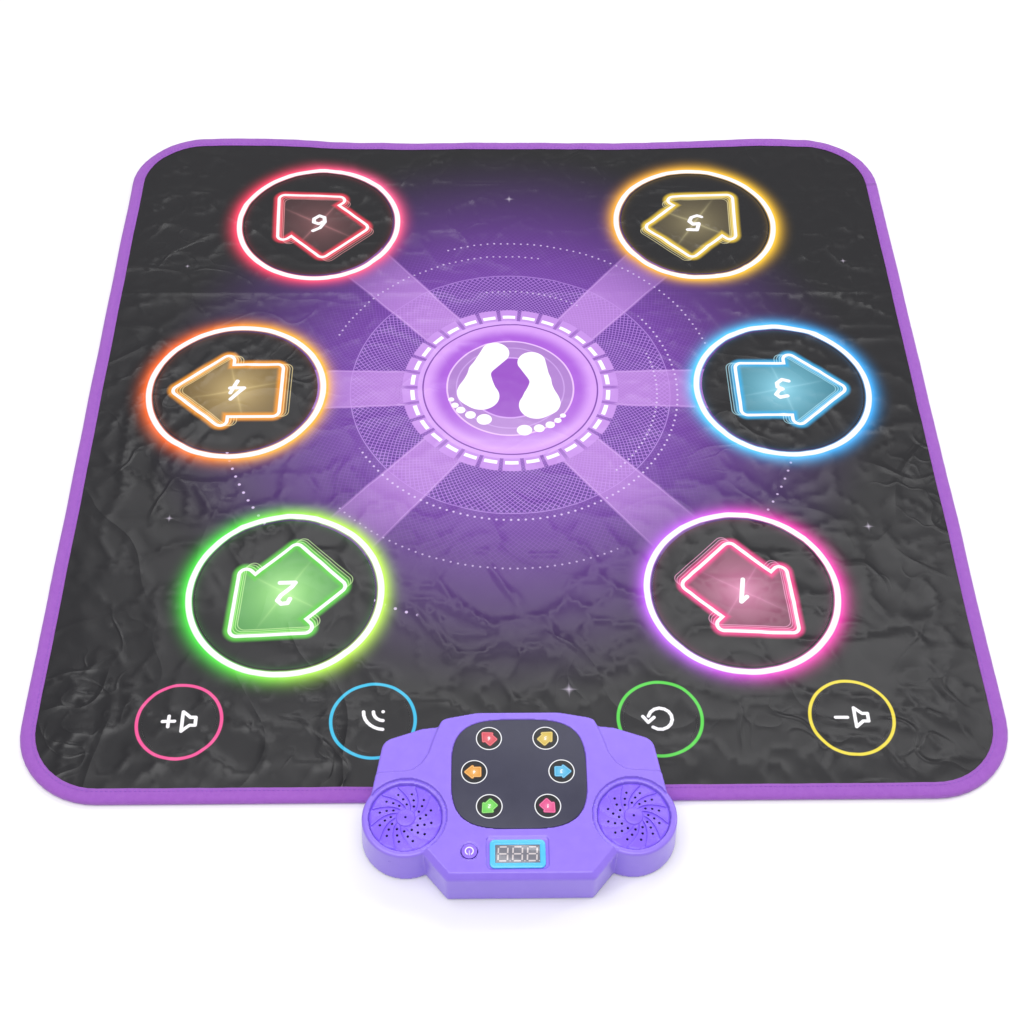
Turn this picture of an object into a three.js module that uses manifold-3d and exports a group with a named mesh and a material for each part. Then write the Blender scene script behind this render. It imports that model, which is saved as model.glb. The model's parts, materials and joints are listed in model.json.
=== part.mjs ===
// A dance rhythm machine: a padded floor mat with ten pressure pads, and a control box on its near edge.
//
// Millimetres, +Z up. The floor is z = 0 and the origin is under the middle of the mat.
// The control box stands on the -Y edge, and the far panel of the mat folds over along X.
import * as THREE from "three";
import { mergeVertices } from "three/addons/utils/BufferGeometryUtils.js";
import Module from "manifold-3d";

const wasm = await Module();
wasm.setup();

// ---------------------------------------------------------------- driving dimensions: mat
const gap = 0.3; // between pieces that touch
const matWidth = 900; // along X
const matDepth = 900; // along Y
const matCornerRadius = 78;
const foldPlace = 0.68; // where the fold crosses the room between the middle and the far pads
const bindingThickness = 0.5;
const bindingWidth = 14; // the leg of the tape on the top and on the underside
const baseClothThickness = 0.6;
const contactFilmThickness = 0.3;
const foamThickness = 2.2;
const coverThickness = 0.5;

// Pads: how far their centres stand in from the mat's edges, and their moving radius.
const stepPadRadius = 87;
const cornerPadSideInset = 228;
const middlePadSideInset = 156;
const farPadInset = 147;
const nearPadInset = 223;
const functionPadRadius = 34;
const functionPadNearInset = 81;
const outerFunctionPadInset = 142;
const innerFunctionPadX = 131.5;
const padTravel = 1.2;

// ---------------------------------------------------------------- driving dimensions: control box
// Places on the box are measured from its centre line and from the mat's near edge.
const wall = 2.2;
const roomOverBoard = 18.4; // from the board to the top of the box
const boxFront = -90.5;
const boxBack = 69;
const frontHalfWidth = 62;
const podY = -32.5;
const podRimWidth = 6.3; // from the grille to the outside of its pod
const podClearance = 1.6; // from the light panel's side to the pod
const podFlare = 2; // how much wider a pod is at its foot
const diagonalReach = 13; // from the pod's middle to the end of the front's diagonal, across
const diagonalDrop = 31; // and forwards
const podDrop = 2; // how far the pods stand below the top
const shoulderDrop = 2;
const shoulderHalfWidth = 119;
const wallFootHeight = 1; // the front wall stops short of the floor
const basePlateThickness = 2;
const footHeight = 1.5;
const footRadius = 6;

const panelMargin = 12.4; // from the light panel's side to the side of the raised middle
const panelHalfWidth = 58.6;
const panelHalfDepth = 52.8;
const panelY = 7.4;
const panelThickness = 1.1;
const panelLedge = 4;
const panelRoundness = 3.4; // exponent of the panel's superellipse

const displayX = -2.5;
const displayY = -68.5;
const bezelWidth = 47;
const bezelDepth = 25.7;
const windowWidth = 37.3;
const windowDepth = 17.3;
const windowThickness = 1;
const bezelCorner = 3;
const bezelSink = 1.4;
const bezelProud = 0.6;

const buttonX = -43;
const buttonY = -66;
const buttonRadius = 6.7;
const switchHalf = 3;
const buttonProud = 1.2;
const buttonTravel = 1;
const buttonFlange = 1.5;

const grilleRadius = 31;
const grilleThickness = 1.8;
const grilleSink = 1.8;
const grilleSeat = 2; // the ledge that the grille lies on
const grilleHubRadius = 8.4;
const grilleHoleRadius = 1.15;
const grilleVanes = 12;
const grilleHoleRings = [12, 17.8, 23];

const boardClearance = 1.3; // from the battery bay to the board
const boardThickness = 1.6;
const boardHalfWidth = 48;
const boardFront = -80;
const boardBack = 61;
const ledRadius = 2.5;
const ledHeight = 6;
const ledPlaces = [[25, -25], [-25, -25], [38, 8], [-38, 8], [25, 40.5], [-25, 40.5]];

const coneTravel = 0.5;
const speakerInset = 4; // how much smaller the loudspeaker is than its grille
const magnetRadius = 13;

const batteryLength = 50.5;
const batteryRadius = 7.25;
const batterySpacing = 0.5; // between one cell and the next
const batteryCount = 3;
const batteryY = -42;
const bayWall = 1.5;
const doorBossHeight = 7.7;
const doorOverhang = 7.5; // the door's reach past the bay, where its screw is
const contactThickness = 0.6;

const screwShankRadius = 1.1;
const screwHeadRadius = 2.6;
const screwHeadHeight = 0.5;
const headRecess = 0.8;
const recessHigh = footHeight + headRecess;
const shellScrewLength = 10;
const doorScrewLength = 6;
const screwHoleRadius = 1.6;
const bossRadius = 3.6;
const frontBoss = [54, -76];
const rearBoss = [84, 32];

const clampFront = 15;
const clampBack = 50;
const clampHalfWidth = 95;
const clampCorner = 3;
const tailHalfWidth = 10;
const connectorRim = 2;
const connectorDepth = 5;
const connectorHeight = 5;
const tailThickness = 0.3;
const tailY = 56;
const slotClearance = 1.2;

// ---------------------------------------------------------------- heights that follow
const baseLow = bindingThickness + gap;
const baseHigh = baseLow + baseClothThickness;
const filmLow = baseHigh + gap;
const filmHigh = filmLow + contactFilmThickness;
const foamLow = filmHigh + gap;
const foamHigh = foamLow + foamThickness;
const coverLow = foamHigh + gap;
const coverHigh = coverLow + coverThickness;
const matTop = coverHigh + gap + bindingThickness;
const farY = matDepth / 2 - farPadInset;
const nearY = nearPadInset - matDepth / 2;
const middleY = (farY + nearY) / 2;
const foldY = THREE.MathUtils.lerp(middleY + stepPadRadius, farY - stepPadRadius, foldPlace);
const plateTop = footHeight + basePlateThickness;
const batteryPitch = 2 * batteryRadius + batterySpacing;
const bayTop = plateTop + 2 * batteryRadius + 4 * gap;
const boardHeight = bayTop + bayWall + boardClearance;
const boardTop = boardHeight + boardThickness;
const boxHeight = boardTop + roomOverBoard;
const podRadius = grilleRadius + podRimWidth;
const podX = panelHalfWidth + podClearance + podRadius;
const humpHalfWidth = panelHalfWidth + panelMargin;
const speakerRadius = grilleRadius - speakerInset;
const podTop = boxHeight - podDrop;
const rearPlateLow = matTop + gap * 2;
const far = 2000; // longer than anything here, for cutting blocks
const podSegments = 28;
const holeSegments = 10;

// ---------------------------------------------------------------- colours and finishes
const finish = (color, roughness, metalness = 0) => ({ color, roughness, metalness });
const looks = {
  cover: finish(0x232228, 0.32),
  foam: finish(0xd8d6d0, 0.95),
  film: finish(0xb9c4c9, 0.35),
  cloth: finish(0x2a2a2e, 0.9),
  binding: finish(0x9a4fd0, 0.75),
  pad: finish(0x3a3044, 0.32),
  shell: finish(0x9a7bf0, 0.35),
  grille: finish(0x8465e0, 0.4),
  darkPanel: finish(0x10131f, 0.12),
  bezel: finish(0x5ec8f2, 0.35),
  window: finish(0x77777f, 0.15),
  blackPlastic: finish(0x1a1a1c, 0.5),
  board: finish(0x1f6b45, 0.5),
  led: finish(0xf2f2f2, 0.2),
  steel: finish(0xb8babd, 0.35, 1),
  paper: finish(0x2b2b2b, 0.9),
  battery: finish(0x2f6fb0, 0.4, 0.3),
  rubber: finish(0x2c2c2e, 0.85),
};

const machine = new THREE.Group();
const mat = new THREE.Group();
const box = new THREE.Group();
box.position.y = -matDepth / 2;
machine.add(mat, box);

// ---------------------------------------------------------------- making and joining solids
function solid(geometry) {
  const bare = geometry.clone();
  bare.deleteAttribute("normal");
  bare.deleteAttribute("uv");
  const merged = mergeVertices(bare, 1e-4);
  return new wasm.Manifold(
    new wasm.Mesh({
      numProp: 3,
      vertProperties: new Float32Array(merged.attributes.position.array),
      triVerts: new Uint32Array(merged.index.array),
    }),
  );
}

function addPiece(group, name, body, look) {
  const made = body.getMesh();
  const geometry = new THREE.BufferGeometry();
  geometry.setAttribute("position", new THREE.BufferAttribute(made.vertProperties, 3));
  geometry.setIndex(new THREE.BufferAttribute(made.triVerts, 1));
  geometry.computeVertexNormals();
  const mesh = new THREE.Mesh(geometry, new THREE.MeshStandardMaterial(look));
  mesh.name = name;
  group.add(mesh);
  return mesh;
}

const join = (...bodies) => bodies.reduce((whole, body) => whole.add(body));
const cut = (body, ...tools) => tools.reduce((rest, tool) => rest.subtract(tool), body);

// An upright prism of an outline between two heights.
function prism(outline, low, high) {
  const shape = new THREE.Shape(outline.map(([x, y]) => new THREE.Vector2(x, y)));
  const geometry = new THREE.ExtrudeGeometry(shape, { depth: high - low, bevelEnabled: false });
  return solid(geometry.translate(0, 0, low));
}

// The same, with its top edge bevelled at 45 degrees.
function bevelledPrism(outline, low, high, bevel) {
  const shape = new THREE.Shape(outline.map(([x, y]) => new THREE.Vector2(x, y)));
  const geometry = new THREE.ExtrudeGeometry(shape, {
    depth: high - low - bevel,
    bevelThickness: bevel,
    bevelSize: bevel,
    bevelOffset: -bevel,
    bevelSegments: 1,
  });
  const whole = solid(geometry.translate(0, 0, low));
  return whole.subtract(block(-far, far, -far, far, low - 2 * bevel, low));
}

function block(xLow, xHigh, yLow, yHigh, zLow, zHigh) {
  const geometry = new THREE.BoxGeometry(xHigh - xLow, yHigh - yLow, zHigh - zLow);
  geometry.translate((xLow + xHigh) / 2, (yLow + yHigh) / 2, (zLow + zHigh) / 2);
  return solid(geometry);
}

// A body of revolution about the upright axis through x, y. The profile is a closed list
// of [radius, height].
function turned(x, y, profile, segments = 24) {
  const closed = [...profile, profile[0]].map(([r, z]) => new THREE.Vector2(r, z));
  const geometry = new THREE.LatheGeometry(closed, segments);
  geometry.rotateX(Math.PI / 2);
  return solid(geometry.translate(x, y, 0));
}

function disc(x, y, radius, low, high, segments = 24) {
  return turned(x, y, [[0, low], [radius, low], [radius, high], [0, high]], segments);
}

function ring(x, y, inner, outer, low, high, segments = 24) {
  return turned(x, y, [[inner, low], [outer, low], [outer, high], [inner, high]], segments);
}

// An outline from corner points [x, y, radius], each corner rounded by its radius.
function rounded(corners, steps = 4) {
  const points = [];
  corners.forEach(([x, y, radius], i) => {
    const [px, py] = corners[(i + corners.length - 1) % corners.length];
    const [nx, ny] = corners[(i + 1) % corners.length];
    const here = new THREE.Vector2(x, y);
    const back = new THREE.Vector2(px - x, py - y).normalize();
    const ahead = new THREE.Vector2(nx - x, ny - y).normalize();
    const half = Math.acos(THREE.MathUtils.clamp(back.dot(ahead), -1, 1)) / 2;
    if (!radius || half > 1.55) {
      points.push([x, y]);
      return;
    }
    const reach = radius / Math.tan(half);
    const from = here.clone().addScaledVector(back, reach);
    const to = here.clone().addScaledVector(ahead, reach);
    const inwards = back.clone().add(ahead).normalize();
    const centre = here.clone().addScaledVector(inwards, radius / Math.sin(half));
    const start = Math.atan2(from.y - centre.y, from.x - centre.x);
    let sweep = Math.atan2(to.y - centre.y, to.x - centre.x) - start;
    sweep = Math.atan2(Math.sin(sweep), Math.cos(sweep));
    for (let k = 0; k <= steps; k++) {
      const angle = start + (sweep * k) / steps;
      points.push([centre.x + radius * Math.cos(angle), centre.y + radius * Math.sin(angle)]);
    }
  });
  return points;
}

const rectangle = (halfX, halfY, radius, steps = 4) => {
  const corners = [
    [halfX, -halfY, radius],
    [halfX, halfY, radius],
    [-halfX, halfY, radius],
    [-halfX, -halfY, radius],
  ];
  return rounded(corners, steps);
};

// Corner points on the right, completed by their mirror images on the left.
const mirrored = (right) => [...right, ...right.map(([x, y, r]) => [-x, y, r]).reverse()];

const shifted = (outline, dx, dy) => outline.map(([x, y]) => [x + dx, y + dy]);

// A rounded oblong whose sides bulge a little: a superellipse.
function superellipse(halfX, halfY, power, steps = 36) {
  const points = [];
  for (let k = 0; k < steps; k++) {
    const angle = (2 * Math.PI * k) / steps;
    const c = Math.cos(angle);
    const s = Math.sin(angle);
    points.push([
      halfX * Math.sign(c) * Math.abs(c) ** (2 / power),
      halfY * Math.sign(s) * Math.abs(s) ** (2 / power),
    ]);
  }
  return points;
}

// ---------------------------------------------------------------- mat
const matOutline = (inset) =>
  rectangle(matWidth / 2 - inset, matDepth / 2 - inset, matCornerRadius - inset, 8);
const layerOutline = matOutline(bindingThickness + gap);
const insideBinding = matOutline(bindingWidth + gap);

const cornerX = matWidth / 2 - cornerPadSideInset;
const middleX = matWidth / 2 - middlePadSideInset;
const functionY = functionPadNearInset - matDepth / 2;
const functionX = matWidth / 2 - outerFunctionPadInset;
const pads = [
  ["pad_1", cornerX, nearY, stepPadRadius],
  ["pad_2", -cornerX, nearY, stepPadRadius],
  ["pad_3", middleX, middleY, stepPadRadius],
  ["pad_4", -middleX, middleY, stepPadRadius],
  ["pad_5", cornerX, farY, stepPadRadius],
  ["pad_6", -cornerX, farY, stepPadRadius],
  ["pad_volume_up", -functionX, functionY, functionPadRadius],
  ["pad_wireless", -innerFunctionPadX, functionY, functionPadRadius],
  ["pad_mode", innerFunctionPadX, functionY, functionPadRadius],
  ["pad_volume_down", functionX, functionY, functionPadRadius],
];
const padSegments = (radius) => (radius > 50 ? 36 : 20);

// The slot that lets the film's tail up into the box, and the holes for the two screws that clamp the mat.
const tailSlot = block(
  -tailHalfWidth - slotClearance, tailHalfWidth + slotClearance,
  tailY - matDepth / 2 - slotClearance, tailY - matDepth / 2 + slotClearance,
  foamLow - 1, matTop + 1,
);
const clampHoles = [-1, 1].map((side) =>
  disc(side * rearBoss[0], rearBoss[1] - matDepth / 2, screwHoleRadius, -1, matTop + 1, holeSegments),
);

function baseCloth() {
  const pocket = block(
    -clampHalfWidth - gap, clampHalfWidth + gap,
    clampFront - gap - matDepth / 2, clampBack + gap - matDepth / 2,
    -1, matTop,
  );
  const whole = join(prism(insideBinding, 0, baseHigh), prism(layerOutline, baseLow, baseHigh));
  return cut(whole, pocket);
}

function foam() {
  const recessFloor = coverLow - padTravel - gap;
  const recesses = pads.map(([, x, y, radius]) =>
    disc(x, y, radius + gap, recessFloor, matTop, padSegments(radius)),
  );
  return cut(prism(layerOutline, foamLow, foamHigh), tailSlot, ...clampHoles, ...recesses);
}

function cover() {
  const holes = pads.map(([, x, y, radius]) =>
    disc(x, y, radius + gap, coverLow - 1, matTop, padSegments(radius)),
  );
  return cut(prism(layerOutline, coverLow, coverHigh), tailSlot, ...clampHoles, ...holes);
}

// The tape is a channel round the edge: an outer wall with one leg above the mat and one below it.
function binding() {
  return cut(
    prism(matOutline(0), 0, matTop),
    prism(matOutline(bindingThickness), bindingThickness, matTop - bindingThickness),
    prism(matOutline(bindingWidth), -1, matTop + 1),
  );
}

const layers = [
  ["base_cloth", baseCloth(), looks.cloth],
  ["contact_film", cut(prism(layerOutline, filmLow, filmHigh), ...clampHoles), looks.film],
  ["foam", foam(), looks.foam],
  ["cover", cover(), looks.cover],
  ["binding", binding(), looks.binding],
];
const mainSide = block(-far, far, -far, foldY - gap, -far, far);
const farSide = block(-far, far, foldY + gap, far, -far, far);
for (const [name, body, look] of layers) {
  addPiece(mat, `${name}_main`, body.intersect(mainSide), look);
  addPiece(mat, `${name}_far`, body.intersect(farSide), look);
}
for (const [name, x, y, radius] of pads)
  addPiece(mat, name, disc(x, y, radius, coverLow, coverHigh, padSegments(radius)), looks.pad);

// ---------------------------------------------------------------- control box: outer forms
// Three forms joined: a raised middle, two lower shoulders behind, and two round speaker pods.
const middleForm = (inset) =>
  rounded(mirrored([
    [frontHalfWidth - inset * 0.6, boxFront + inset, 4],
    [podX - diagonalReach - inset, podY - diagonalDrop + inset, 4],
    [humpHalfWidth - inset, podY + 10, 12],
    [humpHalfWidth - inset, boxBack - 8 - inset, 12],
    [humpHalfWidth / 2, boxBack - 1 - inset, 60],
  ]));
const shoulderForm = (inset) =>
  rounded(mirrored([
    [podX + podRadius - inset - 3, podY, 0],
    [shoulderHalfWidth + 8 - inset, boxBack - 78, 8],
    [shoulderHalfWidth - inset, boxBack - 28 - inset, 14],
    [humpHalfWidth + 14, boxBack - 16 - inset, 20],
    [humpHalfWidth / 2, boxBack - 10 - inset, 0],
  ]));

// The three forms as one solid, set in by inset from the outside, from a low height up to below each top.
function boxForm(inset, low, below, bevel) {
  const top = boxHeight - below;
  const middle = bevelledPrism(middleForm(inset), low, top, bevel);
  const shoulders = prism(shoulderForm(inset), low, top - shoulderDrop);
  const podRim = podTop - below;
  const podEdge = Math.min(bevel, 2);
  const podBodies = [-1, 1].map((side) =>
    turned(side * podX, podY, [
      [0, low],
      [podRadius + podFlare - inset, low],
      [podRadius - inset, podRim - podEdge],
      [podRadius - inset - podEdge, podRim],
      [0, podRim],
    ], podSegments),
  );
  return join(middle, shoulders, ...podBodies);
}

const panelOutline = (inset) =>
  shifted(superellipse(panelHalfWidth - inset, panelHalfDepth - inset, panelRoundness), 0, panelY);
const displayOutline = (width, depth, radius) =>
  shifted(rectangle(width / 2, depth / 2, radius, 4), displayX, displayY);
const bezelSeatOutline = displayOutline(bezelWidth + 2 * wall, bezelDepth + 2 * wall, 4);
const bezelPocket = displayOutline(bezelWidth + 2 * gap, bezelDepth + 2 * gap, bezelCorner + gap);
const windowOpening = displayOutline(windowWidth + 4 * gap, windowDepth + 4 * gap, 1);
const bosses = [frontBoss, rearBoss].flatMap(([x, y]) => [[x, y], [-x, y]]);
const panelFloor = boxHeight - panelThickness - gap;
const bezelFloor = boxHeight - bezelSink;
const grilleLow = podTop - grilleSink;
const grilleFloor = grilleLow - grilleThickness - gap;
const overMat = (low) => block(-far, far, -gap * 2, far, -far, low);

// A boss reaches from just above the base plate up into the wall over it.
function boss([x, y]) {
  const rear = y > 0;
  const low = (rear ? rearPlateLow : footHeight) + basePlateThickness + gap;
  const ceiling = boxHeight - wall - (rear ? shoulderDrop : 0);
  return ring(x, y, screwHoleRadius, bossRadius, low, ceiling + wall / 2, holeSegments);
}

function topShell() {
  const outside = boxForm(0, wallFootHeight, 0, 3);
  const inside = boxForm(wall, wallFootHeight - 1, wall, 3);
  const posts = bosses.map(boss);
  const grilleSeats = [-1, 1].map((side) =>
    turned(side * podX, podY, [
      [speakerRadius + gap * 2, grilleFloor - grilleSeat],
      [grilleRadius + wall, grilleFloor - grilleSeat],
      [grilleRadius + wall, podTop - wall / 2],
      [grilleRadius + gap, podTop - wall / 2],
      [grilleRadius + gap, grilleFloor],
      [speakerRadius + gap * 2, grilleFloor],
    ], podSegments),
  );
  const panelLedgeRing = cut(
    prism(panelOutline(-wall), panelFloor - wall, boxHeight - wall / 2),
    prism(panelOutline(-gap), panelFloor, boxHeight),
    prism(panelOutline(panelLedge), 0, boxHeight),
  );
  const bezelSeat = cut(
    prism(bezelSeatOutline, bezelFloor - wall, boxHeight - wall / 2),
    prism(windowOpening, 0, boxHeight),
  );
  const shell = join(
    cut(outside, inside),
    ...posts,
    ...grilleSeats,
    panelLedgeRing,
    bezelSeat.intersect(outside),
  );
  const openings = [
    prism(panelOutline(-gap), panelFloor, boxHeight + 1),
    prism(panelOutline(panelLedge), panelFloor - wall - 1, boxHeight + 1),
    prism(bezelPocket, bezelFloor, boxHeight + 1),
    prism(windowOpening, bezelFloor - wall - 1, boxHeight + 1),
    disc(buttonX, buttonY, buttonRadius + gap, boxHeight - wall - 1, boxHeight + 1),
    ...[-1, 1].map((side) =>
      disc(side * podX, podY, grilleRadius + gap, grilleFloor, boxHeight, podSegments),
    ),
    overMat(matTop + gap),
  ];
  return cut(shell, ...openings);
}

// The base plate closes the box from below: low in front, and stepped up at the back to pass over the mat.
const plateInset = wall + gap;
const bayHalfX = batteryLength / 2 + contactThickness + 3 * gap + 1;
const bayHalfY = (batteryCount * batteryPitch) / 2 + gap;
const doorBack = batteryY + bayHalfY;
const doorFront = batteryY - bayHalfY - doorOverhang;
const doorScrewY = doorFront + 4;

function basePlate() {
  const form = boxForm(plateInset, 0, plateInset, 3);
  const slab = (yLow, yHigh, zLow, zHigh) => form.intersect(block(-far, far, yLow, yHigh, zLow, zHigh));
  const riser = -gap * 4;
  const rearTop = rearPlateLow + basePlateThickness;
  const plate = join(
    slab(-far, riser, footHeight, plateTop),
    slab(riser - wall, riser, footHeight, rearTop),
    slab(riser - wall, far, rearPlateLow, rearTop),
  );
  const bay = cut(
    block(
      -bayHalfX - bayWall, bayHalfX + bayWall,
      batteryY - bayHalfY - bayWall, batteryY + bayHalfY + bayWall,
      footHeight, bayTop + bayWall,
    ),
    block(-bayHalfX, bayHalfX, batteryY - bayHalfY, batteryY + bayHalfY, 0, bayTop),
  );
  const doorHole = block(-bayHalfX, bayHalfX, doorFront - gap, doorBack, 0, plateTop + gap);
  const bossLow = plateTop + gap;
  const bossHigh = bossLow + doorBossHeight;
  const doorBoss = ring(0, doorScrewY, screwHoleRadius, bossRadius, bossLow, bossHigh, holeSegments);
  const boardPosts = [-1, 1].flatMap((side) => [
    disc(side * (boardHalfWidth - 6), boardFront + 8, 2.5, footHeight, boardHeight - gap, 12),
    disc(side * (boardHalfWidth - 10), boardBack - 12, 2.5, rearPlateLow, boardHeight - gap, 12),
  ]);
  const body = cut(join(plate, bay, ...boardPosts), doorHole);
  const screwHoles = bosses.map(([x, y]) => disc(x, y, screwHoleRadius, 0, rearTop + 1, holeSegments));
  const slot = block(-tailHalfWidth - slotClearance, tailHalfWidth + slotClearance,
    tailY - slotClearance, tailY + slotClearance, 0, rearTop + 1);
  const headRecesses = [-1, 1].map((side) =>
    disc(side * frontBoss[0], frontBoss[1], screwHeadRadius + gap, 0, recessHigh, holeSegments));
  return join(cut(body, ...screwHoles, slot, ...headRecesses), doorBoss);
}

addPiece(box, "top_shell", topShell(), looks.shell);
addPiece(box, "bottom_shell", basePlate(), looks.shell);

// ---------------------------------------------------------------- control box: what shows on top
const panelLow = boxHeight - panelThickness;
addPiece(box, "light_panel", prism(panelOutline(0), panelLow, boxHeight), looks.darkPanel);

const bezelLow = bezelFloor + gap;
const bezelHigh = boxHeight + bezelProud;
const windowRoom = displayOutline(windowWidth + 2 * gap, windowDepth + 2 * gap, 1);
addPiece(box, "display_bezel",
  cut(
    prism(displayOutline(bezelWidth, bezelDepth, bezelCorner), bezelLow, bezelHigh),
    prism(windowRoom, 0, bezelHigh + 1),
  ),
  looks.bezel);
addPiece(box, "display_window",
  prism(displayOutline(windowWidth, windowDepth, 0.8), bezelLow, bezelLow + windowThickness), looks.window);

// A grille disc with a raised hub and curved rows of holes that sweep outwards between its vanes.
function grille(side) {
  const x = side * podX;
  const high = grilleLow;
  const low = grilleLow - grilleThickness;
  const plate = join(
    disc(x, podY, grilleRadius, low, high, podSegments),
    disc(x, podY, grilleHubRadius, low, high + 1, 24),
  );
  const holes = [disc(x, podY, grilleHoleRadius, low - 1, high + 2, 6)];
  for (let vane = 0; vane < grilleVanes; vane++)
    grilleHoleRings.forEach((radius, row) => {
      const angle = (2 * Math.PI * (vane + 0.34 * row * side)) / grilleVanes;
      holes.push(disc(x + radius * Math.cos(angle), podY + radius * Math.sin(angle),
        grilleHoleRadius, low - 1, high + 1, 6));
    });
  return cut(plate, ...holes);
}
for (const [side, word] of [[-1, "left"], [1, "right"]])
  addPiece(box, `speaker_grille_${word}`, grille(side), looks.grille);

// The button is a cap with a flange under the shell, and a stem that reaches down to its switch.
const switchHigh = boardTop + gap + 4.5;
const flangeHigh = boxHeight - wall - 3 - gap;
addPiece(box, "power_button",
  turned(buttonX, buttonY, [
    [0, switchHigh + gap + buttonTravel],
    [2.2, switchHigh + gap + buttonTravel],
    [2.2, flangeHigh - buttonFlange],
    [buttonRadius - 1.2, flangeHigh - buttonFlange],
    [buttonRadius - 1.2, flangeHigh],
    [buttonRadius, flangeHigh],
    [buttonRadius, boxHeight + buttonProud - 0.6],
    [buttonRadius - 0.6, boxHeight + buttonProud],
    [0, boxHeight + buttonProud],
  ]), looks.shell);
addPiece(box, "power_switch",
  block(
    buttonX - switchHalf, buttonX + switchHalf,
    buttonY - switchHalf, buttonY + switchHalf,
    boardTop + gap, switchHigh,
  ), looks.blackPlastic);

// ---------------------------------------------------------------- control box: inside
const boardOutline = rounded(mirrored([
  [boardHalfWidth, boardFront, 2],
  [boardHalfWidth, boardBack - 8, 2],
  [boardHalfWidth - 8, boardBack, 2],
]), 3);
addPiece(box, "main_board", prism(boardOutline, boardHeight, boardTop), looks.board);

ledPlaces.forEach(([x, y], i) => {
  const foot = boardTop + gap;
  addPiece(box, `led_${i + 1}`,
    turned(x, y, [
      [0, foot],
      [ledRadius + 0.5, foot],
      [ledRadius + 0.5, foot + 1],
      [ledRadius, foot + 1],
      [ledRadius, foot + ledHeight - ledRadius],
      [ledRadius * 0.7, foot + ledHeight - ledRadius * 0.3],
      [0, foot + ledHeight],
    ], 12), looks.led);
});

addPiece(box, "display_module",
  join(
    prism(displayOutline(windowWidth - 4, windowDepth - 4, 0), boardTop + gap, bezelLow - 6),
    prism(displayOutline(windowWidth, windowDepth, 0), bezelLow - 8, bezelLow - gap),
  ), looks.blackPlastic);

// Each loudspeaker is a basket with its magnet, and a cone that moves in it.
const speakerRim = grilleFloor - grilleSeat - gap;
for (const [side, word] of [[-1, "left"], [1, "right"]]) {
  const x = side * podX;
  addPiece(box, `speaker_frame_${word}`,
    turned(x, podY, [
      [0, speakerRim - 19],
      [magnetRadius, speakerRim - 19],
      [magnetRadius, speakerRim - 11],
      [magnetRadius + 1, speakerRim - 10],
      [speakerRadius - 2, speakerRim - 2],
      [speakerRadius, speakerRim - 2],
      [speakerRadius, speakerRim],
      [speakerRadius - 2.5, speakerRim],
      [magnetRadius, speakerRim - 8.5],
      [0, speakerRim - 8.5],
    ], 24), looks.steel);
  addPiece(box, `speaker_cone_${word}`,
    turned(x, podY, [
      [0, speakerRim - 7],
      [magnetRadius - 4, speakerRim - 7],
      [speakerRadius - 5, speakerRim - 0.9],
      [speakerRadius - 5, speakerRim - 0.3],
      [magnetRadius - 4, speakerRim - 6],
      [0, speakerRim - 4],
    ], 24), looks.paper);
}

// ---------------------------------------------------------------- batteries and their door
const batteryZ = plateTop + gap * 2 + batteryRadius;
for (let i = 0; i < batteryCount; i++) {
  const y = batteryY + (i - (batteryCount - 1) / 2) * batteryPitch;
  const flip = i % 2 ? -1 : 1;
  const cell = new THREE.CylinderGeometry(batteryRadius, batteryRadius, batteryLength - 1, 24);
  const nub = new THREE.CylinderGeometry(2.6, 2.6, 1.4, 12);
  nub.translate(0, (batteryLength - 1) / 2 + 0.3, 0);
  const body = join(solid(cell), solid(nub)).rotate([0, 0, flip * 90]);
  addPiece(box, `battery_${i + 1}`, body.translate([0, y, batteryZ]), looks.battery);
}
for (const [side, word] of [[-1, "left"], [1, "right"]]) {
  const inner = side * (batteryLength / 2 + gap + 1);
  const outer = inner + side * contactThickness;
  addPiece(box, `battery_contact_${word}`,
    block(Math.min(inner, outer), Math.max(inner, outer),
      batteryY - bayHalfY + gap, batteryY + bayHalfY - gap, plateTop + 2 * gap, bayTop - gap),
    looks.steel);
}

addPiece(box, "battery_door",
  cut(
    block(-bayHalfX + gap, bayHalfX - gap, doorFront, doorBack - gap, footHeight, plateTop),
    disc(0, doorScrewY, screwHoleRadius, 0, bayTop, holeSegments),
    disc(0, doorScrewY, screwHeadRadius + gap, 0, recessHigh, holeSegments),
  ), looks.shell);

// A screw driven upwards: its head is below and its shank above.
function screw(x, y, low, length) {
  return turned(x, y, [
    [0, low],
    [screwHeadRadius, low],
    [screwHeadRadius, low + screwHeadHeight],
    [screwShankRadius, low + screwHeadHeight],
    [screwShankRadius, low + length],
    [0, low + length],
  ], holeSegments);
}
const doorScrewLow = footHeight - screwHeadHeight;
addPiece(box, "battery_door_screw", screw(0, doorScrewY, doorScrewLow, doorScrewLength), looks.steel);

// ---------------------------------------------------------------- fasteners, feet and the mat's clamp
bosses.forEach(([x, y], i) => {
  const low = y > 0 ? gap : footHeight - screwHeadHeight;
  addPiece(box, `shell_screw_${i + 1}`, screw(x, y, low, shellScrewLength), looks.steel);
});

const footPlaces = [[podX + 12, podY - 8], [frontHalfWidth - 8, boxFront + 26]];
footPlaces.flatMap(([x, y]) => [[x, y], [-x, y]]).forEach(([x, y], i) =>
  addPiece(box, `rubber_foot_${i + 1}`,
    turned(x, y, [
      [0, 0],
      [footRadius - 0.5, 0],
      [footRadius, 0.5],
      [footRadius, footHeight - gap],
      [0, footHeight - gap],
    ], 20), looks.rubber));

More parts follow.
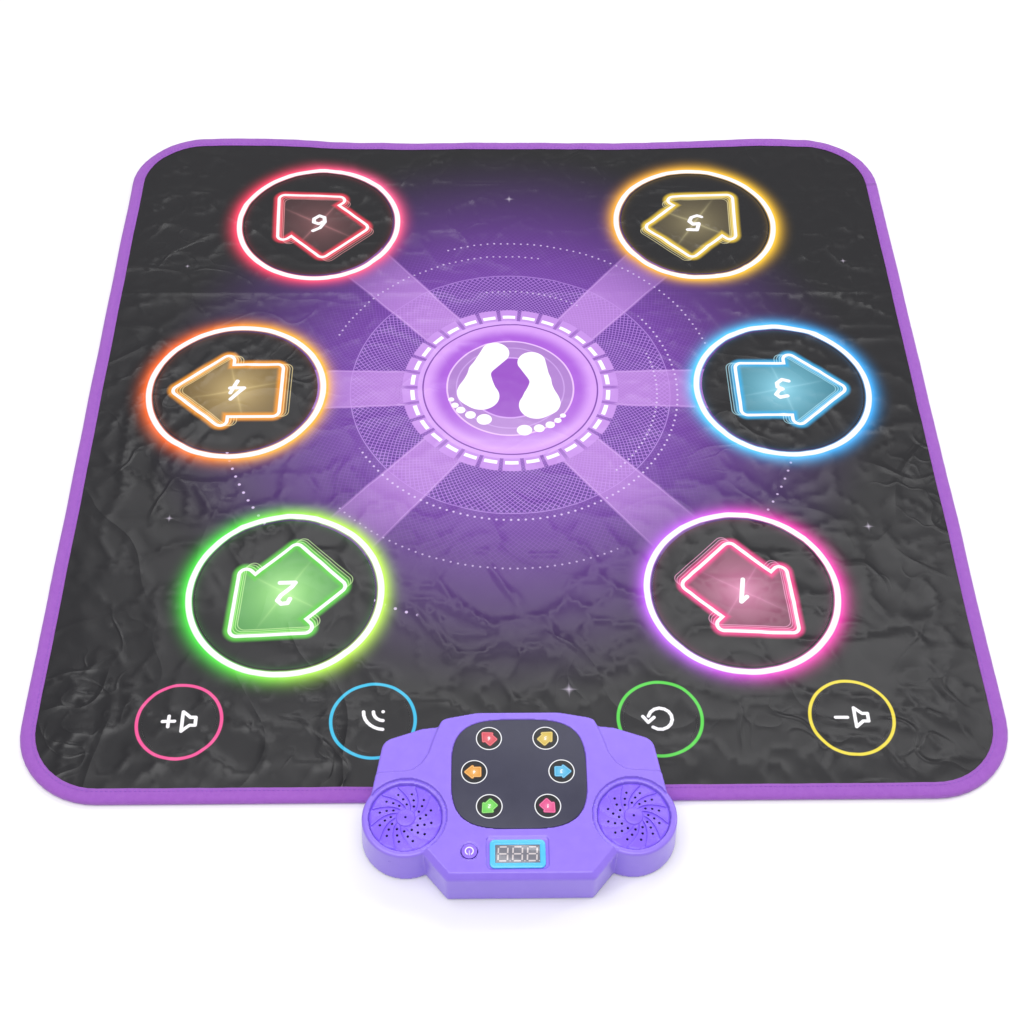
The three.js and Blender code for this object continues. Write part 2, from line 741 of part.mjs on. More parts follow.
const clampHole = (side) => [
  disc(side * rearBoss[0], rearBoss[1], screwHoleRadius, -1, matTop, holeSegments),
  disc(side * rearBoss[0], rearBoss[1], screwHeadRadius + gap, -1, screwHeadHeight + 2 * gap, holeSegments),
];
const clampOutline = rectangle(clampHalfWidth, (clampBack - clampFront) / 2, clampCorner, 3);
addPiece(box, "mat_clamp_plate",
  cut(
    prism(shifted(clampOutline, 0, (clampFront + clampBack) / 2), gap, baseHigh),
    ...clampHole(-1), ...clampHole(1),
  ), looks.steel);

const tailHigh = boardHeight - connectorHeight;
addPiece(box, "film_tail",
  block(
    -tailHalfWidth, tailHalfWidth,
    tailY - tailThickness / 2, tailY + tailThickness / 2,
    foamLow, tailHigh,
  ), looks.film);
addPiece(box, "tail_connector",
  block(
    -tailHalfWidth - connectorRim, tailHalfWidth + connectorRim,
    tailY - connectorDepth / 2, tailY + connectorDepth / 2,
    tailHigh + gap, boardHeight - gap,
  ), looks.blackPlastic);

export default machine;
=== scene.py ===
# %% [markdown]
# # A dance rhythm machine
# The object is a padded floor mat, 0.9 m square, with a printed vinyl cover and a purple control box
# clamped on its near edge. The sizes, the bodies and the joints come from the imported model, which is loaded
# first. Everything made here is in metres, in that model's own frame: +Z is up, the floor is z = 0, and the
# box is at -Y.

import json
import math

import bmesh
import bpy
import numpy as np
from mathutils import Euler, Matrix, Vector, geometry, noise


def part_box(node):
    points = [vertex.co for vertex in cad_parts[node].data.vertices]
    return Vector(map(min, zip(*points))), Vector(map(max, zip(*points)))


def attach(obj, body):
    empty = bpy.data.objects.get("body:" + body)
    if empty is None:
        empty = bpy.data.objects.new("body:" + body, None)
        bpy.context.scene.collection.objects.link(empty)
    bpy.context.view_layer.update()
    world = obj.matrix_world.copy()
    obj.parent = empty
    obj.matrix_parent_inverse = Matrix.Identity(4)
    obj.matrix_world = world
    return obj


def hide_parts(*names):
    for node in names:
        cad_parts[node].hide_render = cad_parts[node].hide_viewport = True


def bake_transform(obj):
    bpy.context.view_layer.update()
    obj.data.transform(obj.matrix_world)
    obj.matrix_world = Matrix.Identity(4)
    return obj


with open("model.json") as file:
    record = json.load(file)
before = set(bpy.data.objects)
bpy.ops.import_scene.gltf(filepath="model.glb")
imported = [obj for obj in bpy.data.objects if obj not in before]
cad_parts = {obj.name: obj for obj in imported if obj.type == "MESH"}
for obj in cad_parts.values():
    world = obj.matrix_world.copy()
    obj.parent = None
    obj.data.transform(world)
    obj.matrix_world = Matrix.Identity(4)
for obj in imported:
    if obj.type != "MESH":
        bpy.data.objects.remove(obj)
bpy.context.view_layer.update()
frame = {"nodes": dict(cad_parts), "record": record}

# %% [markdown]
# ## Small helpers
# Most pieces are meshes made from lists of points, so one function turns such a list into an object. The
# mat's print is drawn by formulas in millimetres, so `MM` turns millimetres into Blender's metres.

# %% Mesh helpers
MM = 0.001


def colour(code):
    """A hex colour as it is seen on a screen, turned into the linear values that shaders use."""
    parts = [int(code[i : i + 2], 16) / 255 for i in (0, 2, 4)]
    return tuple(c / 12.92 if c <= 0.04045 else ((c + 0.055) / 1.055) ** 2.4 for c in parts)


def mesh_object(name, points, faces, smooth=True):
    """An object from points in metres and faces as tuples of indices."""
    mesh = bpy.data.meshes.new(name)
    mesh.from_pydata([tuple(p) for p in points], [], [tuple(f) for f in faces])
    mesh.validate()
    mesh.polygons.foreach_set("use_smooth", [smooth] * len(mesh.polygons))
    piece = bpy.data.objects.new(name, mesh)
    bpy.context.scene.collection.objects.link(piece)
    return piece


def face_outwards(piece, sharp_angle=None):
    """Turns the faces outwards. Edges sharper than the angle, if one is given, stay sharp."""
    bm = bmesh.new()
    bm.from_mesh(piece.data)
    bmesh.ops.recalc_face_normals(bm, faces=bm.faces)
    if sharp_angle:
        for edge in bm.edges:
            edge.smooth = len(edge.link_faces) == 2 and edge.calc_face_angle(0) < math.radians(sharp_angle)
    bm.to_mesh(piece.data)
    bm.free()


def ring_faces(first, second, count):
    """Quads between two closed rings of points, from the number of each ring's first point."""
    turns = [(k, (k + 1) % count) for k in range(count)]
    return [(first + k, first + j, second + j, second + k) for k, j in turns]


def end_faces(first, last, count):
    """The two faces that close a stack of rings."""
    return [tuple(first + k for k in reversed(range(count))), tuple(last + k for k in range(count))]


def keep_flat_places(piece, places):
    """Stores where each point lies when the sheet is flat, as a plain run of x, y, z in millimetres."""
    stored = piece.data.attributes.new("flat", "FLOAT_VECTOR", "POINT")
    stored.data.foreach_set("vector", places)


def apply_modifiers(piece):
    """Bakes a piece's modifiers into its mesh."""
    graph = bpy.context.evaluated_depsgraph_get()
    made = bpy.data.meshes.new_from_object(piece.evaluated_get(graph))
    piece.modifiers.clear()
    piece.data = made


def give(piece, material, body, slot, *nodes):
    """Puts a finish on a piece, parents it to the body it rides on, and hides the model nodes it stands for.
    """
    piece.data.materials.clear()
    piece.data.materials.append(material)
    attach(piece, body)
    if nodes:
        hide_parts(*nodes)


print("helpers ready")

# %% [markdown]
# ## Camera, floor and light
# The mat is seen from above and in front, with a lens a little longer than normal, so its far edge looks
# shorter than its near one. A white room lights glossy vinyl best: the vinyl itself is nearly black, and
# what is seen on it is the room's reflection, broken up by every wrinkle. One large lamp from behind makes
# the brighter streaks.

# %% Camera
heading, tilt, roll = math.radians(1.85), math.radians(52.27), math.radians(1.23)
camera_data = bpy.data.cameras.new("camera")
camera_data.sensor_width = 36
camera_data.lens = 54.24
camera_data.clip_end = 20
camera = bpy.data.objects.new("camera", camera_data)
bpy.context.scene.collection.objects.link(camera)
camera.location = (-0.0316, -1.0825, 1.2393)
aim = Euler((math.pi / 2 - tilt, 0, -heading)).to_matrix()
camera.rotation_euler = (aim @ Matrix.Rotation(roll, 3, "Z")).to_euler()
bpy.context.scene.camera = camera
print("camera", round(camera.location.length, 2), "m from the mat's middle")

# %% Floor and light
bpy.context.scene.view_settings.view_transform = "Standard"

floor = mesh_object("floor", [(-6, -6, 0), (6, -6, 0), (6, 6, 0), (-6, 6, 0)], [(0, 1, 2, 3)], smooth=False)
floor.location.z = -0.0004
floor_finish = bpy.data.materials.new("floor")
floor_finish.use_nodes = True
floor_shader = floor_finish.node_tree.nodes["Principled BSDF"]
floor_shader.inputs["Base Color"].default_value = (0.94, 0.94, 0.94, 1)
floor_shader.inputs["Roughness"].default_value = 0.9
floor_shader.inputs["Specular IOR Level"].default_value = 0.1
floor.data.materials.append(floor_finish)

world = bpy.data.worlds.new("white room")
bpy.context.scene.world = world
world.use_nodes = True
world.node_tree.nodes["Background"].inputs["Color"].default_value = (1, 1, 1, 1)
world.node_tree.nodes["Background"].inputs["Strength"].default_value = 0.5


def area_lamp(name, place, target, width, depth, watts):
    lamp_data = bpy.data.lights.new(name, "AREA")
    lamp_data.shape = "RECTANGLE"
    lamp_data.size = width
    lamp_data.size_y = depth
    lamp_data.energy = watts
    lamp = bpy.data.objects.new(name, lamp_data)
    bpy.context.scene.collection.objects.link(lamp)
    lamp.location = place
    lamp.rotation_euler = (Vector(target) - Vector(place)).to_track_quat("-Z", "Y").to_euler()


area_lamp("overhead", (-0.3, -0.7, 2.6), (0, -0.1, 0), 2.4, 2.0, 46)
area_lamp("back", (0.3, 1.25, 2.2), (0, 0.1, 0), 2.6, 0.35, 13)
area_lamp("side", (2.4, 0.6, 1.6), (0, 0, 0), 0.5, 1.6, 14)
print("floor, white room and three soft lamps")

# %% [markdown]
# ## Drawing with formulas
# The mat's print could be a picture wrapped on the sheet. Here it is drawn by formulas instead, so it stays
# sharp at any distance: each line of the print is a distance to a circle, a box or a stroke, and a distance
# turns into ink with a soft step. In a shader, arithmetic is done by Math nodes. The class below lets a
# formula be written as a formula: `a * 2 + b` adds the nodes and joins them.

# %% A number that varies over a surface
class Field:
    """A value in a node tree. Arithmetic on it adds Math nodes."""

    def __init__(self, tree, socket):
        self.tree = tree
        self.socket = socket

    def math(self, operation, *others, clamp=False):
        node = self.tree.nodes.new("ShaderNodeMath")
        node.operation = operation
        node.use_clamp = clamp
        for slot, value in zip(node.inputs, (self, *others)):
            if isinstance(value, Field):
                self.tree.links.new(value.socket, slot)
            else:
                slot.default_value = value
        return Field(self.tree, node.outputs[0])

    def __add__(self, other):
        return self.math("ADD", other)

    def __sub__(self, other):
        return self.math("SUBTRACT", other)

    def __rsub__(self, other):
        return self.math("MULTIPLY_ADD", -1.0, other)

    def __mul__(self, other):
        return self.math("MULTIPLY", other)

    def __truediv__(self, other):
        return self.math("DIVIDE", other)

    def __pow__(self, other):
        return self.math("POWER", other)

    def __abs__(self):
        return self.math("ABSOLUTE")

    def __neg__(self):
        return self.math("MULTIPLY", -1.0)

    def step(self, low, high):
        """0 where the value is below low, 1 above high, and smooth between. Low may be the larger one."""
        node = self.tree.nodes.new("ShaderNodeMapRange")
        node.interpolation_type = "SMOOTHSTEP"
        self.tree.links.new(self.socket, node.inputs["Value"])
        swap = low > high
        node.inputs["From Min"].default_value = min(low, high)
        node.inputs["From Max"].default_value = max(low, high)
        node.inputs["To Min"].default_value = 1.0 if swap else 0.0
        node.inputs["To Max"].default_value = 0.0 if swap else 1.0
        return Field(self.tree, node.outputs["Result"])

    __radd__, __rmul__ = __add__, __mul__

    def above(self, value):
        """1 where the value is above another, with no soft step."""
        return self.math("GREATER_THAN", value)

    def line(self, half, soft=0.45):
        """1 within half of zero, and 0 outside: a drawn line."""
        return abs(self).step(half + soft, half - soft)

    def glow(self, width):
        """1 at zero and fading to both sides, like light on paper."""
        return (abs(self) * (-1.0 / width)).math("EXPONENT")

    def repeat(self):
        """The fraction part, centred: -0.5 to 0.5, over and over."""
        return self.math("FRACT") - 0.5


def hypotenuse(a, b):
    return (a * a + b * b).math("SQRT")


def turn(x, y, degrees):
    """The two coordinates in axes turned by an angle: the first runs along it, the second across."""
    c, s = math.cos(math.radians(degrees)), math.sin(math.radians(degrees))
    return x * c + y * s, y * c - x * s


def joined(fields, operation):
    """Several Fields joined into one, such as the smallest of them."""
    result = fields[0]
    for field in fields[1:]:
        result = result.math(operation, field)
    return result


def stroke_distance(x, y, points):
    """The distance to a pen stroke through the points."""
    distances = []
    for (ax, ay), (bx, by) in zip(points, points[1:]):
        dx, dy = bx - ax, by - ay
        squared = dx * dx + dy * dy
        px, py = x - ax, y - ay
        share = (px * (dx / squared)).math("ADD", py * (dy / squared), clamp=True)
        distances.append(hypotenuse(px - share * dx, py - share * dy))
    return joined(distances, "MINIMUM")


def strokes_mask(x, y, strokes, half):
    """1 on any of the strokes, drawn with a round pen of this half width."""
    nearest = joined([stroke_distance(x, y, points) for points in strokes], "MINIMUM")
    return nearest.step(half + 0.4, half - 0.4)


class Ink:
    """A colour in a node tree that further inks are laid over."""

    def __init__(self, tree, base):
        self.tree = tree
        self.value = base if isinstance(base, bpy.types.NodeSocket) else (*base, 1)

    def lay(self, ink, amount, blend="MIX"):
        node = self.tree.nodes.new("ShaderNodeMix")
        node.data_type = "RGBA"
        node.blend_type = blend
        factor, under, over = node.inputs["Factor"], node.inputs[6], node.inputs[7]
        if isinstance(amount, Field):
            self.tree.links.new(amount.socket, factor)
        else:
            factor.default_value = amount
        for slot, source in ((under, self.value), (over, ink)):
            if isinstance(source, bpy.types.NodeSocket):
                self.tree.links.new(source, slot)
            else:
                slot.default_value = (*source[:3], 1)
        self.value = node.outputs[2]
        return self


def new_group(name, inputs, outputs):
    """An empty node group. Returns the tree, its inputs as Fields and its output node."""
    tree = bpy.data.node_groups.new(name, "ShaderNodeTree")
    kinds = {"float": "NodeSocketFloat", "colour": "NodeSocketColor", "vector": "NodeSocketVector"}
    for label, (kind, value) in inputs.items():
        socket = tree.interface.new_socket(name=label, in_out="INPUT", socket_type=kinds[kind])
        if value is not None:
            socket.default_value = value if kind == "float" else (*value, 1)[: 4 if kind == "colour" else 3]
    for label, kind in outputs.items():
        tree.interface.new_socket(name=label, in_out="OUTPUT", socket_type=kinds[kind])
    start = tree.nodes.new("NodeGroupInput")
    end = tree.nodes.new("NodeGroupOutput")
    fields = {label: Field(tree, start.outputs[label]) for label in inputs}
    return tree, fields, end


def fill_inputs(tree, node, values):
    """Fills inputs with Fields, sockets, numbers or colours. A space in an input's name may be written _."""
    for label, value in values.items():
        slot = node.inputs[label.replace("_", " ")]
        if isinstance(value, Field):
            tree.links.new(value.socket, slot)
        elif isinstance(value, bpy.types.NodeSocket):
            tree.links.new(value, slot)
        elif isinstance(value, tuple):
            slot.default_value = (*value[:3], 1)[: len(slot.default_value)]
        else:
            slot.default_value = value
    return node


def add_node(tree, kind, **values):
    return fill_inputs(tree, tree.nodes.new(kind), values)


def place_group(tree, group, **values):
    """Puts a group into a tree, with its inputs filled."""
    node = tree.nodes.new("ShaderNodeGroup")
    node.node_tree = group
    return fill_inputs(tree, node, values)


def changed_place(tree, operation, place, slot, value):
    """A place after a vector operation, with a number or a Field in the given input."""
    node = tree.nodes.new("ShaderNodeVectorMath")
    node.operation = operation
    tree.links.new(place, node.inputs[0])
    if isinstance(value, Field):
        tree.links.new(value.socket, node.inputs[slot])
    else:
        node.inputs[slot].default_value = value
    return node.outputs[0]


def new_material(name, **sockets):
    """A material with its Principled shader, whose plain numbers are set on the shader's own sockets."""
    material = bpy.data.materials.new(name)
    material.use_nodes = True
    tree = material.node_tree
    shader = tree.nodes["Principled BSDF"]
    fill_inputs(tree, shader, sockets)
    return material, tree, shader


def flat_place(tree):
    """Where a point of a sheet lies when the sheet is flat, in millimetres from the mat's middle."""
    store = tree.nodes.new("ShaderNodeAttribute")
    store.attribute_name = "flat"
    split = add_node(tree, "ShaderNodeSeparateXYZ", Vector=store.outputs["Vector"])
    return store.outputs["Vector"], Field(tree, split.outputs[0]), Field(tree, split.outputs[1])


print("drawing tools ready")

# %% [markdown]
# ## The lie of the mat
# The cover is thin printed vinyl over soft foam, folded for its box, so it never lies flat: it has broad
# swells, small sharp creases, the folds it was packed with, and puckers along the stitched edge. A cloth
# simulation would give such folds by chance. A height formula gives them where they belong, and the cover,
# the pads in it and the tape round it can all follow the same one, so they stay together.

# %% Sizes of the mat, from the frame
mat_low, mat_high = (np.array(corner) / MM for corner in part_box("binding_main"))
far_low, far_high = (np.array(corner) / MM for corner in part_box("binding_far"))
half_width = mat_high[0]
near_edge, far_edge = mat_low[1], far_high[1]
fold_y = (mat_high[1] + far_low[1]) / 2
cover_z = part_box("cover_main")[1][2] / MM
corner_radius = 78.0
tape_width = 14.0

pad_names = ["pad_1", "pad_2", "pad_3", "pad_4", "pad_5", "pad_6"]
function_names = ["pad_volume_up", "pad_wireless", "pad_mode", "pad_volume_down"]
pad_places = {}
for pad_name in pad_names + function_names:
    low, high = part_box(pad_name)
    pad_places[pad_name] = (
        (low[0] + high[0]) / 2 / MM, (low[1] + high[1]) / 2 / MM, (high[0] - low[0]) / 2 / MM)
print("mat", 2 * half_width, "x", far_edge - near_edge, "mm, fold at", round(fold_y, 1))


# %% The height formula
def edge_distance(x, y):
    """How far inside the mat's rounded outline a point is."""
    middle_y = (near_edge + far_edge) / 2
    qx = abs(x) - (half_width - corner_radius)
    qy = abs(y - middle_y) - ((far_edge - near_edge) / 2 - corner_radius)
    outside = math.hypot(max(qx, 0), max(qy, 0))
    return corner_radius - outside - min(max(qx, qy), 0)


def ramp(value, low, high):
    share = min(max((value - low) / (high - low), 0), 1)
    return share * share * (3 - 2 * share)


def crease(x, y, scale, seed, power):
    """Sharp ridges: the places where a smooth noise crosses zero."""
    value = noise.noise(Vector((x / scale, y / scale, seed)))
    return max(0.0, 1 - abs(value) * 3.2) ** power


most_rise = 3.4
packing_fold_x = 152
pressed_half, pressed_reach, pressed_fade = 112, 66, 34


def mat_height(x, y):
    """The rise of the cover above its lowest level, in millimetres."""
    swell = 0.5 + 0.5 * noise.noise(Vector((x / 210, y / 180, 3.7)))
    bend = 14 * noise.noise(Vector((x / 90, y / 90, 9.1)))
    busy = ramp(noise.noise(Vector((x / 160, y / 160, 21.3))), -0.35, 0.35)
    small = crease(x + bend, y - bend, 58, 5.2, 3) * 1.5 + crease(x - bend, y, 33, 11.4, 3) * 0.9
    long_folds = crease(x * 0.45 + y * 0.2, y - x * 0.3, 75, 17.9, 5) * 1.2
    rise = 1.7 * swell + (0.35 + 0.65 * busy) * (small + long_folds)
    # The packing folds: a sharp one across, and two fainter ones lengthwise.
    wander = 2.5 * noise.noise(Vector((x / 60, 0.5, 2.2)))
    rise += 1.5 * math.exp(-abs(y - fold_y + wander) / 5)
    for side in (-1, 1):
        drift = 5 * noise.noise(Vector((y / 80, side, 4.4)))
        rise += 0.9 * math.exp(-abs(x - side * packing_fold_x + drift) / 6)
    # Puckers along the stitching, and a hem that lifts a little off the floor here and there.
    inside = edge_distance(x, y)
    around = noise.noise(Vector((x / 16, y / 16, 31.0)))
    rise += 1.1 * max(around, -0.3) * math.exp(-max(inside - 12, 0) / 22)
    # The box presses the mat flat where it stands on it.
    press = ramp(max(abs(x) - pressed_half, y - (near_edge + pressed_reach)), 0, pressed_fade)
    return most_rise * math.tanh(max(rise, 0) / most_rise) * press


def cover_height(x, y):
    """The cover's top surface above the floor: pulled down under the tape at the edge."""
    inside = edge_distance(x, y)
    return cover_z - 0.2 + mat_height(x, y) * (0.35 + 0.65 * ramp(inside, 8, 40))


def laid(x, y):
    """Where a flat point comes to lie. The hem wanders outwards only, as the foam reaches almost to it."""
    hem = 1 - ramp(edge_distance(x, y), 0, 55)
    spread = 9 * math.exp(-((abs(x) - 320) / 95) ** 2) + 1.5 * (1 + noise.noise(Vector((x / 70, 7.3, 0.4))))
    side = 0.9 * (1 + noise.noise(Vector((y / 95, math.copysign(3.1, x), 0.8))))
    return x + math.copysign(side, x) * hem * ramp(abs(x), 300, 420), y + spread * hem * ramp(y, 250, 430)


# %% [markdown]
# A sheet is triangulated from its outline and a field of points in a triangular pattern, which shades
# evenly in every direction. Each point keeps its flat place in an attribute, for the print to be drawn
# from. The normals are taken from the height formula, so that two sheets that meet shade as one.

# %% Sheets that follow the mat
def circle(x, y, radius, count):
    return [(x + radius * math.cos(2 * math.pi * k / count), y + radius * math.sin(2 * math.pi * k / count))
            for k in range(count)]


def rounded_square(inset, step):
    """The mat's outline, set in by inset, with a point every step or so."""
    radius = corner_radius - inset
    corners = [(half_width, far_edge, 0), (-half_width, far_edge, 90),
               (-half_width, near_edge, 180), (half_width, near_edge, 270)]
    points = []
    for x, y, start in corners:
        cx = x - math.copysign(corner_radius, x)
        cy = y - (corner_radius if y > 0 else -corner_radius)
        arc = [math.radians(start + 90 * k / 12) for k in range(13)]
        points += [(cx + radius * math.cos(a), cy + radius * math.sin(a)) for a in arc]
    even = []
    for (ax, ay), (bx, by) in zip(points, points[1:] + points[:1]):
        count = max(1, round(math.hypot(bx - ax, by - ay) / step))
        even += [(ax + (bx - ax) * k / count, ay + (by - ay) * k / count) for k in range(count)]
    return even


def triangulate(loops, inside, step, bounds):
    """Triangles over the points for which inside() holds. A loop is an edge of the sheet or a cut in it."""
    points, edges = [], []
    for loop in loops:
        first = len(points)
        points += loop
        edges += [(first + k, first + (k + 1) % len(loop)) for k in range(len(loop))]
    x_low, x_high, y_low, y_high = bounds
    row_height = step * math.sqrt(3) / 2
    for row in range(int((y_high - y_low) / row_height) + 1):
        y = y_low + row * row_height
        for column in range(int((x_high - x_low) / step) + 1):
            x = x_low + (column + 0.5 * (row % 2)) * step
            if inside(x, y, 0.45 * step):
                points.append((x, y))
    flat, _, faces, *_ = geometry.delaunay_2d_cdt([Vector(p) for p in points], edges, [], 0, 1e-5)
    kept = [face for face in faces if inside(*(sum((flat[i] for i in face), Vector((0, 0))) / 3), 0)]
    return [(p.x, p.y) for p in flat], kept


def lay_sheet(name, flat, faces, height, rim=0.5):
    """Lifts a flat sheet to its height, with a short turned-down rim at its open edges."""
    heights = [height(x, y) for x, y in flat]
    points = [(*(value * MM for value in laid(x, y)), z * MM) for (x, y), z in zip(flat, heights)]
    count = {}
    for face in faces:
        for a, b in zip(face, (*face[1:], face[0])):
            count[(a, b)] = count.get((a, b), 0) + 1
    open_edges = [edge for edge in count if (edge[1], edge[0]) not in count]
    lowered = {}
    rim_faces = []
    for a, b in open_edges:
        for i in (a, b):
            if i not in lowered:
                lowered[i] = len(points)
                points.append((points[i][0], points[i][1], points[i][2] - rim * MM))
        rim_faces.append((b, a, lowered[a], lowered[b]))
    piece = mesh_object(name, points, list(faces) + rim_faces)
    places = flat + [flat[i] for i in lowered]
    keep_flat_places(piece, [value for x, y in places for value in (x, y, 0.0)])
    step = 2.0
    normals = []
    for x, y in places:
        slope_x = (height(x + step, y) - height(x - step, y)) / (2 * step)
        slope_y = (height(x, y + step) - height(x, y - step)) / (2 * step)
        normals.append(Vector((-slope_x, -slope_y, 1)).normalized())
    piece.data.normals_split_custom_set_from_vertices(normals)
    return piece


sheet_step = 6.0
print("sheet points every", sheet_step, "mm")

# %% [markdown]
# ## Vinyl
# The cover is black vinyl with a soft gloss. Its folds are in the mesh, but the finest crinkles are smaller
# than the mesh's triangles, so they are a height that a Bump node reads. Film stays smooth over most of the
# foam and creases in patches, so the folds are thin lines that come and go, and the gloss is duller where
# it was rubbed. The group takes the flat place of each point, so the crinkles stay on the sheet when it
# folds.

# %% Crinkled film, as a node group
def noise_field(tree, place, scale, detail=2.0, roughness=0.5, distortion=0.0):
    node = add_node(tree, "ShaderNodeTexNoise", Vector=place, Scale=scale, Detail=detail, Roughness=roughness,
                    Distortion=distortion)
    return Field(tree, node.outputs["Fac"])


crinkled_film, film_in, film_out = new_group(
    "crinkled film", {"Place": ("vector", None)}, {"Height": "float", "Rubbed": "float"})
film_place = film_in["Place"].socket


def thin_folds(tree, place, scale, width, seed):
    """Thin wandering folds: ridges where a smooth noise crosses its middle value. The width is in mm."""
    moved = changed_place(tree, "ADD", place, 1, (seed, seed * 1.7, 0))
    value = noise_field(tree, moved, scale, 1.0, 0.35, 0.12)
    return (abs(value - 0.5) * (-1 / (width * scale)) + 1).math("MAXIMUM", 0) ** 1.6


film_patches = noise_field(crinkled_film, film_place, 0.0065, 2.0, 0.5, 0.5).step(0.5, 0.72)
film_height = joined([
    thin_folds(crinkled_film, film_place, 0.006, 6.0, 0.0) * (film_patches * 0.45 + 0.2),
    thin_folds(crinkled_film, film_place, 0.013, 2.6, 410.0) * film_patches * 0.4,
    thin_folds(crinkled_film, film_place, 0.026, 1.5, 870.0) * film_patches ** 2 * 0.16,
], "ADD")
film_rubbed = noise_field(crinkled_film, film_place, 0.06, 6.0, 0.7)
crinkled_film.links.new(film_height.socket, film_out.inputs["Height"])
crinkled_film.links.new(film_rubbed.socket, film_out.inputs["Rubbed"])


def add_bump(tree, shader, height, distance):
    bump = add_node(tree, "ShaderNodeBump", Distance=distance, Strength=1.0, Height=height)
    tree.links.new(bump.outputs["Normal"], shader.inputs["Normal"])


def join_finish(tree, shader, ink, roughness=None, height=None, depth=0.0):
    """Joins a colour to a shader, and a roughness and a bump where they are given."""
    fill_inputs(tree, shader, {"Base Color": ink.value})
    if roughness is not None:
        fill_inputs(tree, shader, {"Roughness": roughness})
    if height is not None:
        add_bump(tree, shader, height, depth)


def vinyl(name):
    """A vinyl material without its print. Returns the material, its tree, its shader and the flat x and y."""
    material, tree, shader = new_material(name, Roughness=0.3, Specular_IOR_Level=0.5)
    place, x, y = flat_place(tree)
    film = place_group(tree, crinkled_film, Place=place)
    roughness = Field(tree, film.outputs["Rubbed"]) * 0.12 + 0.25
    fill_inputs(tree, shader, {"Roughness": roughness})
    add_bump(tree, shader, film.outputs["Height"], 0.0016)
    return material, tree, shader, x, y


print("crinkled film:", len(crinkled_film.nodes), "nodes")

# %% [markdown]
# ## The print round the pads
# Each pad is ringed by a white line in coloured light. A ring is the distance to a circle: the line is
# where that distance is small, and the light is where it has not yet faded. The pads lie in mirrored pairs,
# so |x| halves the number of circles, and the sign of x picks the colour.

# %% The print's colours
mat_black = colour("131217")
white_ink = colour("fbf8fd")
print_middle = (0.0, 41.0)
pad_light = {
    "pad_1": ("f23cae", "b455e8"),
    "pad_2": ("3fd83a", "b9e84a"),
    "pad_3": ("3aa8f4", "52c4fb"),
    "pad_4": ("f5651c", "fcb638"),
    "pad_5": ("f8c22e", "f2a93a"),
    "pad_6": ("fa3d62", "f25a8c"),
}
function_light = {
    "pad_volume_up": "ee4f94",
    "pad_wireless": "35b9e0",
    "pad_mode": "54cf48",
    "pad_volume_down": "e8d43c",
}
ring_radius, thin_ring_radius = 92.9, 38.5


def side_colour(tree, x, left, right):
    """The left colour where x is below 0, and the right one elsewhere."""
    return Ink(tree, left).lay(right, x.step(-1, 1)).value


def lay_ring(ink, x, y, right, left):
    """The white ring and its light round one pair of pads, right and left."""
    px, py, _ = pad_places[right]
    away_x, away_y = abs(x) - px, y - py
    away = hypotenuse(away_x, away_y) - ring_radius
    outer = side_colour(ink.tree, x, colour(pad_light[left][0]), colour(pad_light[right][0]))
    inner = side_colour(ink.tree, x, colour(pad_light[left][1]), colour(pad_light[right][1]))
    tint = Ink(ink.tree, inner).lay(outer, away_x.step(-80, 80)).value
    light = ((away - 4.5).math("MAXIMUM", 0) * -0.17).math("EXPONENT") * away.step(-5, -2) * away.step(30, 7)
    ink.lay(tint, light)
    ink.lay(white_ink, away.line(2.9, 0.8))


def lay_thin_ring(ink, x, y, right, left):
    """The plain coloured ring round one pair of function pads."""
    px, py, _ = pad_places[right]
    away = hypotenuse(abs(x) - px, y - py) - thin_ring_radius
    tint = side_colour(ink.tree, x, colour(function_light[left]), colour(function_light[right]))
    ink.lay(tint, away.line(1.5, 0.5))


print("colours ready")

# %% [markdown]
# ## The print round the middle
# Purple light fades from the middle outwards. Over it lie a net of crossing spirals, six beams that point
# at the pads, dotted arcs and a few stars. A spiral crosses every circle at one angle, so in the angle and
# the logarithm of the radius it is a straight line, and the net is two sets of straight lines.

# %% Patterns that go round
def polar(x, y):
    """The offset from the print's middle, the distance to it, and the share of a full turn round it."""
    cx, cy = x - print_middle[0], y - print_middle[1]
    radius = hypotenuse(cx, cy)
    return cx, cy, radius, cy.math("ARCTAN2", cx) * (0.5 / math.pi)


def net_mask(radius, share, count, width):
    """1 on two families of spirals that cross each other."""
    log_share = radius.math("LOGARITHM", math.e) * (0.5 / math.pi)
    one = abs(((share + log_share) * count).repeat()).step(0.5 - width * 2, 0.5)
    other = abs(((share - log_share) * count).repeat()).step(0.5 - width * 2, 0.5)
    return one.math("MAXIMUM", other)


def dotted_arc(radius, share, at, spacing, dot, start, end):
    """Dots on a circle, from one share of a turn to another."""
    count = round(2 * math.pi * at / spacing)
    along = (share * count).repeat() * (2 * math.pi * at / count)
    span = share.step(start - 0.002, start) * share.step(end + 0.002, end)
    return hypotenuse(along, radius - at).step(dot + 0.4, dot - 0.4) * span


beam_ends = ((222, 262), (294, -3), (222, -268))


def lay_beams(ink, cx, cy, radius, grain):
    """Six beams of light from the middle to the pads, as three that are mirrored."""
    for px, py in beam_ends:
        along, across = turn(abs(cx), cy, math.degrees(math.atan2(py, px)))
        edge = abs(across) - along * 0.035 - 21
        beam = edge.step(1.2, -0.6) * along.step(60, 100) * radius.step(330, 120) * (grain * 0.3 + 0.62)
        ink.lay(colour("bb86da"), beam)
        ink.lay(colour("cfa8ea"), (edge + 1.5).line(0.5) * along.step(60, 100) * radius.step(300, 150) * 0.5)


